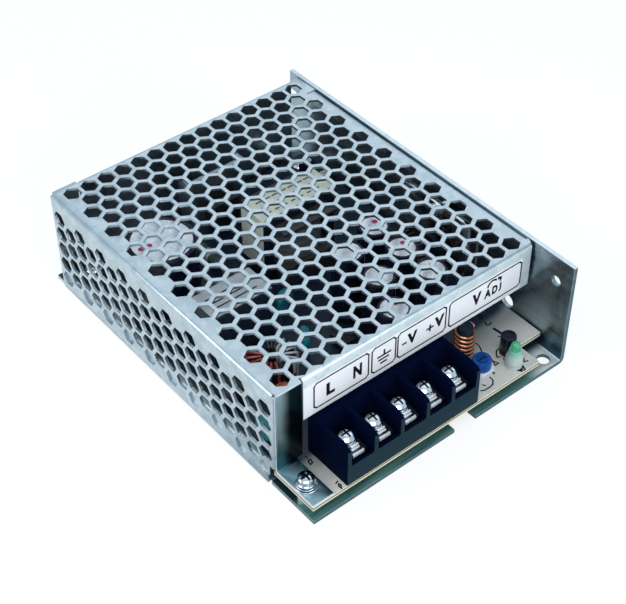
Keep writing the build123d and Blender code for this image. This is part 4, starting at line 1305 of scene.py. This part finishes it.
@dataclass
class InputSide:
    """Parts between the mains terminals and the transformer, in millimetres."""

    tops: Growth
    disc_turns: tuple[Point, ...] = (
        (-7.0, 0.0, 20.0), (-12.4, -16.8, 60.0), (-43.2, -37.6, 90.0))

    def disc(self, piece: Piece, x: float, y: float, radius: float, thick: float,
             turn: float = 0.0) -> None:
        """Adds a dipped disc on two wires.

        Args:
            piece: The piece that it is added to.
            x: Its X.
            y: Its Y.
            radius: Its radius.
            thick: Its thickness.
            turn: Its turn about the upright axis, in degrees.
        """
        low = board_top()
        up = low + 1.2 + radius
        spin = Matrix.Rotation(math.radians(turn), 3, "Z")
        half = thick / 2
        piece.lathe((x, y, up), [
            (0, -half), (radius * 0.6, -half), (radius * 0.86, -half * 0.75), (radius, 0),
            (radius * 0.86, half * 0.75), (radius * 0.6, half), (0, half)],
            spin @ Matrix.Rotation(math.pi / 2, 3, "X"))
        for side in (-1, 1):
            foot = (Vector((x, y, 0)) + spin @ Vector((side * radius / 2, 0, 0))).xy
            before = len(piece.mesh.faces)
            piece.tube([(*foot, low), (*foot, up - radius * 0.6)], 0.35)
            piece.paint_from(Finishes.screw, before)

    def discs(self) -> None:
        """Builds the disc capacitors, the varistor and the thermistor."""
        teal = Piece("disc_capacitors", Finishes.teal)
        for x, y, turn in self.disc_turns:
            self.disc(teal, x, y, 4.0, 3.0, turn)
        teal.done("teal_lacquer", "safety_capacitors")
        for name, node, finish, slot, radius in (
                ("varistor_disc", "surge_varistor", Finishes.orange, "orange_lacquer", 5.0),
                ("thermistor_disc", "inrush_thermistor", Finishes.dark, "dark_lacquer", 4.5)):
            piece = Piece(name, finish)
            self.disc(piece, *middle(node).xy, radius, 4.0)
            piece.done(slot, node)

    def choke(self) -> None:
        """Builds the lying toroid with its striped windings."""
        softened("input_ring", "input_choke_core", Finishes.ferrite, "ferrite", 0.3)
        low, high = span("input_choke_core")
        centre = middle("input_choke_core")
        for name, finish, count, start, sweep, nodes in (
                ("left", Finishes.red_wire, 8, 112, 136, ["input_choke_windings"]),
                ("right", Finishes.white_wire, 6, -68, 92, []),
                ("end", Finishes.dark_wire, 3, 38, 30, [])):
            loops_growth(finish).grow(
                f"input_turns_{name}", "copper_wire", [centre], *nodes, Radius=5.3, Width=4.2,
                Height=high.z - low.z + 0.8, Wire=0.4, Count=count, Start=math.radians(start),
                Sweep=math.radians(sweep))
        leads = Piece("input_choke_leads", Finishes.dark_wire)
        for turn in (-68, 68, 112, 248):
            way = Vector((math.cos(math.radians(turn)), math.sin(math.radians(turn)), 0))
            start = centre + way * 7.45
            leads.tube([start, (*start.xy, low.z - 0.2), (*start.xy, board_top())], 0.4)
        leads.done("copper_wire")

    def boxes(self) -> None:
        """Builds the film capacitor, fuse, bridge, heat sink and switch."""
        # The film capacitor's sides take painted shade.
        softened("film_box", "filter_capacitor", Finishes.box_film, "box_film", 0.5,
                 (Finishes.box_side_painted_shade, lambda place, normal: normal.z < 0.7))
        low, high = span("filter_capacitor")
        ink = Piece("film_box_print", Finishes.ink)
        for k in range(3):
            y = low.y + 3.4 + 2.2 * k
            ink.band([(low.x + 3, y, high.z), (high.x - 4 - 3 * k, y, high.z)], 0.5, 0.03)
        ink.done("black_moulding")
        softened("fuse_body", "fuse", Finishes.epoxy, "fuse_case", 0.35)
        for name, node, rise in (("bridge_body", "bridge_rectifier", 2.15),
                                 ("switch_body", "switch_transistor", 3.95),
                                 ("rectifier_bodies", "output_rectifiers", 5.95)):
            level = board_top() + rise
            softened(name, node, Finishes.epoxy, "black_epoxy", 0.15,
                     (Finishes.tag, lambda place, normal: place.z < level))
        softened("sink_profile", "switch_heat_sink", Finishes.aluminium, "aluminium", 0.15)

    def resistor(self) -> None:
        """Builds the banded resistor on its bent leads."""
        low, high = span("snubber_resistor")
        (x, y, _), floor = middle("snubber_resistor"), board_top()
        up, half = floor + 3.6, (high.y - low.y) / 2 - 1.2
        piece = Piece("resistor_body", Finishes.dark)
        faces = piece.lathe((x, y, up), [
            (0, -half), (1.7, -half), (2.2, -half + 0.6), (2.2, -half + 2.0), (2.0, -half + 2.4),
            (2.0, -1.0), (2.0, 0.0), (2.0, 1.2), (2.0, 2.0), (2.0, half - 2.4),
            (2.2, half - 2.0), (2.2, half - 0.6), (1.7, half), (0, half)],
            Matrix.Rotation(-math.pi / 2, 3, "X"))
        for start, end, finish in ((-0.9, 0.1, Finishes.white_wire), (1.0, 2.1, Finishes.stripe)):
            piece.paint(finish, [f for f in faces
                                 if start < f.calc_center_median().y - y < end])
        before = len(piece.mesh.faces)
        for side in (-1, 1):
            out = y + side * (half + 0.75)
            piece.tube([(x, y + side * (half - 0.2), up), (x, out - side * 0.3, up),
                        (x, out, up - 0.4), (x, out, floor)], 0.38)
        piece.paint_from(Finishes.screw, before)
        piece.done("dark_lacquer", "snubber_resistor")

    def build(self) -> None:
        """Builds the whole input side."""
        self.discs()
        self.choke()
        self.boxes()
        self.resistor()
        build_cans("bulk_can", "bulk_capacitor", self.tops, 11.0, (), 1.1, 0.3)
        for name, node in (("control_body", "control_chip"), ("coupler_body", "optocoupler")):
            y = middle(node).y
            softened(name, node, Finishes.epoxy, "black_epoxy", 0.12,
                     (Finishes.tag, lambda place, normal: abs(place.y - y) > 3.25))


@dataclass
class Transformer:
    """Core, bobbin, windings and the printed tape over them, in millimetres."""

    layers: int = 6
    bore: float = 6.4

    def build(self) -> None:
        """Builds the transformer."""
        softened("core_halves", "transformer_core", Finishes.ferrite, "ferrite", 0.25)
        softened("bobbin_frame", "transformer_bobbin", Finishes.bobbin, "bobbin", 0.15)
        low, high = span("transformer_winding")
        radius, rise = (high.x - low.x) / 2, high.z - low.z
        profile, step = [(self.bore, 0.0), (radius - 0.3, 0.0)], rise / self.layers
        for k in range(self.layers):
            profile += [(radius, step * k + 0.2), (radius, step * (k + 1) - 0.2),
                        (radius - 0.15, step * (k + 1))]
        profile += [(self.bore, rise), (self.bore, 0.0)]
        piece = Piece("winding_wrap", Finishes.winding)
        piece.lathe((*middle("transformer_winding").xy, low.z), profile)
        piece.weld()
        piece.done("winding_tape", "transformer_winding")
        softened("tape_wrap", "transformer_tape", Finishes.tape, "tape", 0.06)
        low, high = span("transformer_tape")
        ink = Piece("tape_marks", Finishes.tape_print)
        for row in range(3):
            for k in range(7):
                x, y = low.x + 4.0 + 3.1 * k, low.y + 2.4 + 2.9 * row
                length = 1.0 + 0.5 * ((k * 3 + row) % 3)
                ink.band([(x, y, high.z), (x + length, y, high.z)], 0.55, 0.02)
        ink.done("tape")


@dataclass
class OutputSide:
    """Parts between the transformer and the output terminals, in millimetres."""

    tops: Growth
    places: tuple[Flat, ...] = ((21.2, -8.4), (21.2, -21.0), (21.2, -33.6), (7.7, -12.4),
                                (7.7, -26.2), (2.1, -39.0))
    small_places: tuple[Flat, ...] = ((37.4, 43.6), (37.4, 34.2))
    bulk_marks: tuple[Flat, ...] = ((-38.6, 27.2), (-35.7, 27.0))

    def marks(self) -> None:
        """Builds the red marks on the cans' tops."""
        top = span("output_capacitors")[1].z
        piece = Piece("can_marks", Finishes.mark)
        for x, y in (*[(x + 1.5, y + 1.3) for x, y in self.places], *self.bulk_marks):
            piece.lathe((x, y, top - 0.16), [(0, 0), (0.9, 0), (0.9, 0.06), (0, 0.06)], sides=14)
        piece.done("orange_lacquer")

    def choke(self) -> None:
        """Builds the standing toroid with its copper turns."""
        softened("output_ring", "output_choke_core", Finishes.ferrite, "ferrite", 0.3)
        centre = middle("output_choke_core")
        low, high = span("output_choke_core")
        loops_growth(Finishes.choke_wire).grow(
            "output_turns", "copper_wire", [centre], "output_choke_winding", turn=ON_EDGE,
            Radius=5.2, Width=4.5, Height=high.x - low.x + 0.9, Wire=0.45, Count=19,
            Start=math.radians(24), Sweep=math.radians(312))
        leads = Piece("output_choke_leads", Finishes.choke_wire)
        for y in (centre.y - 3.0, centre.y + 3.0):
            leads.tube([(centre.x, y, low.z + 0.5), (centre.x, y, board_top())], 0.45)
        leads.done("copper_wire")

    def build(self) -> None:
        """Builds the whole output side."""
        build_cans("output_can", "output_capacitors", self.tops, 5.0, self.places, 0.45)
        build_cans("small_can", "small_capacitors", self.tops, 2.5, self.small_places, 0.3)
        self.marks()
        self.choke()
        softened("insulating_pad", "rectifier_pad", Finishes.pad, "pad", 0.05)
        softened("clamp_strip", "clamp_bar", Finishes.tag, "galvanised_steel", 0.2)


@dataclass
class Label:
    """The printed strip on the cover's front flange, in millimetres."""

    face: float = -48.8
    strip: Corners = (-38.8, 22.3, 43.2, 34.0)
    film: float = 0.06
    ink: float = 0.03
    line: float = 0.5
    stroke: float = 0.66
    swell: float = 0.05
    frames: tuple[Flat, ...] = ((-35.2, -15.9), (-14.7, -6.0), (-5.2, 13.0), (14.3, 42.9))
    frame_z: Flat = (23.9, 33.3)
    corner: float = 0.9

    def letters(self) -> list[tuple[str, Corners]]:
        """Returns each letter and its box in X and Z."""
        return [("L", (-30.9, 26.2, -27.9, 30.9)), ("N", (-21.4, 26.4, -18.3, 31.2)),
                ("V", (-1.7, 26.8, 2.1, 31.1)), ("V", (8.6, 26.9, 12.4, 31.1)),
                ("V", (23.3, 26.4, 26.9, 31.0)), ("A", (28.2, 26.5, 30.9, 29.8)),
                ("D", (31.3, 26.6, 33.5, 29.8)), ("J", (33.9, 26.4, 35.0, 29.7))]

    def strokes(self) -> list[list[Flat]]:
        """Returns the strokes of the signs as points of X and Z."""
        turn = [(31.3 + 1.9 * math.cos(a), 30.6 + 1.7 * math.sin(a))
                for a in (math.radians(176 - 16 * k) for k in range(9))]
        return [[(-10.2, 30.6), (-10.2, 28.9)], [(-12.4, 28.9), (-8.0, 28.9)],
                [(-12.0, 27.6), (-8.7, 27.6)], [(-11.3, 26.2), (-9.4, 26.2)],
                [(-3.3, 28.3), (-2.2, 28.3)], [(5.9, 28.4), (8.0, 28.4)],
                [(6.95, 27.4), (6.95, 29.4)], turn,
                [(33.6, 32.1), (34.6, 31.6), (34.4, 30.7)], [(33.7, 31.6), (34.6, 31.6)]]

    def outline(self, low: float, high: float) -> list[Flat]:
        """Returns one frame's outline with cut corners.

        Args:
            low: The frame's left end.
            high: The frame's right end.

        Returns:
            Its points of X and Z.
        """
        bottom, top, cut = *self.frame_z, self.corner
        return [(low + cut, bottom), (high - cut, bottom), (high, bottom + cut),
                (high, top - cut), (high - cut, top), (low + cut, top), (low, top - cut),
                (low, bottom + cut), (low + cut, bottom)]

    def build(self) -> None:
        """Builds the strip and its print."""
        left, low, right, high = self.strip
        strip = Piece("label_strip", Finishes.label)
        strip.box((left, self.face - self.film, low), (right, self.face, high), 0.02)
        strip.done("film")
        piece = Piece("label_print", Finishes.ink)
        front = self.face - self.film
        for lines, width in ((self.strokes(), self.stroke),
                             ([self.outline(*ends) for ends in self.frames], self.line)):
            for line in lines:
                piece.band([(x, front, z) for x, z in line], width, self.ink, (0, -1, 0))
        for text, box in self.letters():
            piece.letter(text, box, front, self.ink, self.swell)
        piece.done("black_moulding")


@dataclass
class Studio:
    """Floor, light and camera."""

    camera_place: Point = (-0.20436, -0.25599, 0.3141)
    camera_turn: Point = (46.864, 0.198, -39.39)
    lens: float = 83.96
    floor_half: float = 3.0
    floor_glow: float = 0.72
    floor_lift: float = 1.06
    floor_tone: Colour = (0.30, 0.30, 0.30)
    mirror_way: Point = (-1.2, 1.0, 0.0)
    mirror_span: Flat = (0.0, 0.06)
    mirror_tones: tuple[Colour, Colour] = ((0.02, 0.10, 0.12), (0.85, 0.97, 1.0))
    skies: tuple[tuple[Colour, float], ...] = (
        ((0.58, 0.76, 0.88), 0.5), ((0.60, 0.77, 0.88), 0.85), ((1, 1, 1), 1.0))
    lamps: tuple[tuple[Point, float, float], ...] = (
        ((-0.25, -0.35, 0.75), 0.5, 2.6),
        ((0.45, 0.35, 0.70), 0.9, 1.0),
        ((-0.6, 0.25, 0.45), 0.5, 1.6),
        ((0.1, -0.9, 0.3), 0.6, 3.0),
    )

    def floor(self) -> None:
        """Lays a pale floor that keeps a faint shadow."""
        graph = Graph("floor")
        graph.tree.nodes.remove(graph.surface)
        path = graph.node("ShaderNodeLightPath").outputs
        plain = graph.mixed((1, 1, 1, 1), (*[self.floor_lift] * 3, 1), path["Is Camera Ray"])
        mirrored = graph.ramp(graph.along(graph.place, self.mirror_way), *self.mirror_tones,
                              self.mirror_span)
        glow = graph.out("ShaderNodeEmission", {
            "Color": graph.mixed(plain, mirrored, path["Is Glossy Ray"]),
            "Strength": self.floor_glow})
        matt = graph.out("ShaderNodeBsdfDiffuse", {"Color": rgba(self.floor_tone)})
        graph.feed(graph.output.inputs["Surface"],
                   graph.out("ShaderNodeAddShader", {0: glow, 1: matt}))
        half = self.floor_half
        data = bpy.data.meshes.new("floor")
        data.from_pydata([(-half, -half, 0), (half, -half, 0), (half, half, 0),
                          (-half, half, 0)], [], [(0, 1, 2, 3)])
        data.materials.append(graph.material)
        made = bpy.data.objects.new("floor", data)
        bpy.context.scene.collection.objects.link(made)

    def sky(self) -> None:
        """Sets a white surround for the camera and a soft one for the rest."""
        world = bpy.data.worlds.new("studio")
        bpy.context.scene.world = world
        world.use_nodes = True
        tree = Tree(world.node_tree)
        tree.tree.nodes.clear()
        path = tree.node("ShaderNodeLightPath").outputs
        seen = tree.out("ShaderNodeMath", {
            0: path["Is Camera Ray"], 1: path["Is Transmission Ray"]}, operation="MAXIMUM")
        soft, mirrored, white = (
            tree.out("ShaderNodeBackground", {"Color": rgba(colour), "Strength": strength})
            for colour, strength in self.skies)
        near = tree.out("ShaderNodeMixShader", {
            0: path["Is Glossy Ray"], 1: soft, 2: mirrored})
        far = tree.out("ShaderNodeMixShader", {0: seen, 1: near, 2: white})
        tree.node("ShaderNodeOutputWorld", {"Surface": far})

    def light(self) -> None:
        """Hangs the soft lamps, each aimed at the case."""
        for k, (place, size, power) in enumerate(self.lamps):
            data = bpy.data.lights.new(f"soft_{k}", "AREA")
            data.size, data.energy = size, power
            made = bpy.data.objects.new(f"soft_{k}", data)
            made.location = place
            made.rotation_euler = (-Vector(place)).to_track_quat("-Z", "Y").to_euler()
            bpy.context.scene.collection.objects.link(made)

    def camera(self) -> None:
        """Stands the camera at the photo's angle."""
        data = bpy.data.cameras.new("camera")
        data.lens, data.sensor_width = self.lens, 36.0
        made = bpy.data.objects.new("camera", data)
        made.location = self.camera_place
        made.rotation_euler = tuple(math.radians(a) for a in self.camera_turn)
        bpy.context.scene.collection.objects.link(made)
        bpy.context.scene.camera = made
        bpy.context.scene.view_settings.view_transform = "Standard"

    def build(self) -> None:
        """Builds the whole studio."""
        self.floor()
        self.sky()
        self.light()
        self.camera()


def main() -> None:
    """Builds every part of the scene."""
    logging.basicConfig(level=logging.INFO, format="%(message)s")
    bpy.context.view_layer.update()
    # The front screws' nickel has painted shade towards the back of each head.
    front, tops = screw_growth(Finishes.screw_painted_rear_shade), vent_growth()
    for builder in (SheetMetal(), TerminalBlock(front), CircuitBoard(),
                    OpenBay(coil_growth(Finishes.copper)),
                    Fasteners(screw_growth(Finishes.screw), front), InputSide(tops),
                    Transformer(), OutputSide(tops), Label(), Studio()):
        builder.build()
        LOG.info("built %s", type(builder).__name__)


if __name__ == "__main__":
    main()
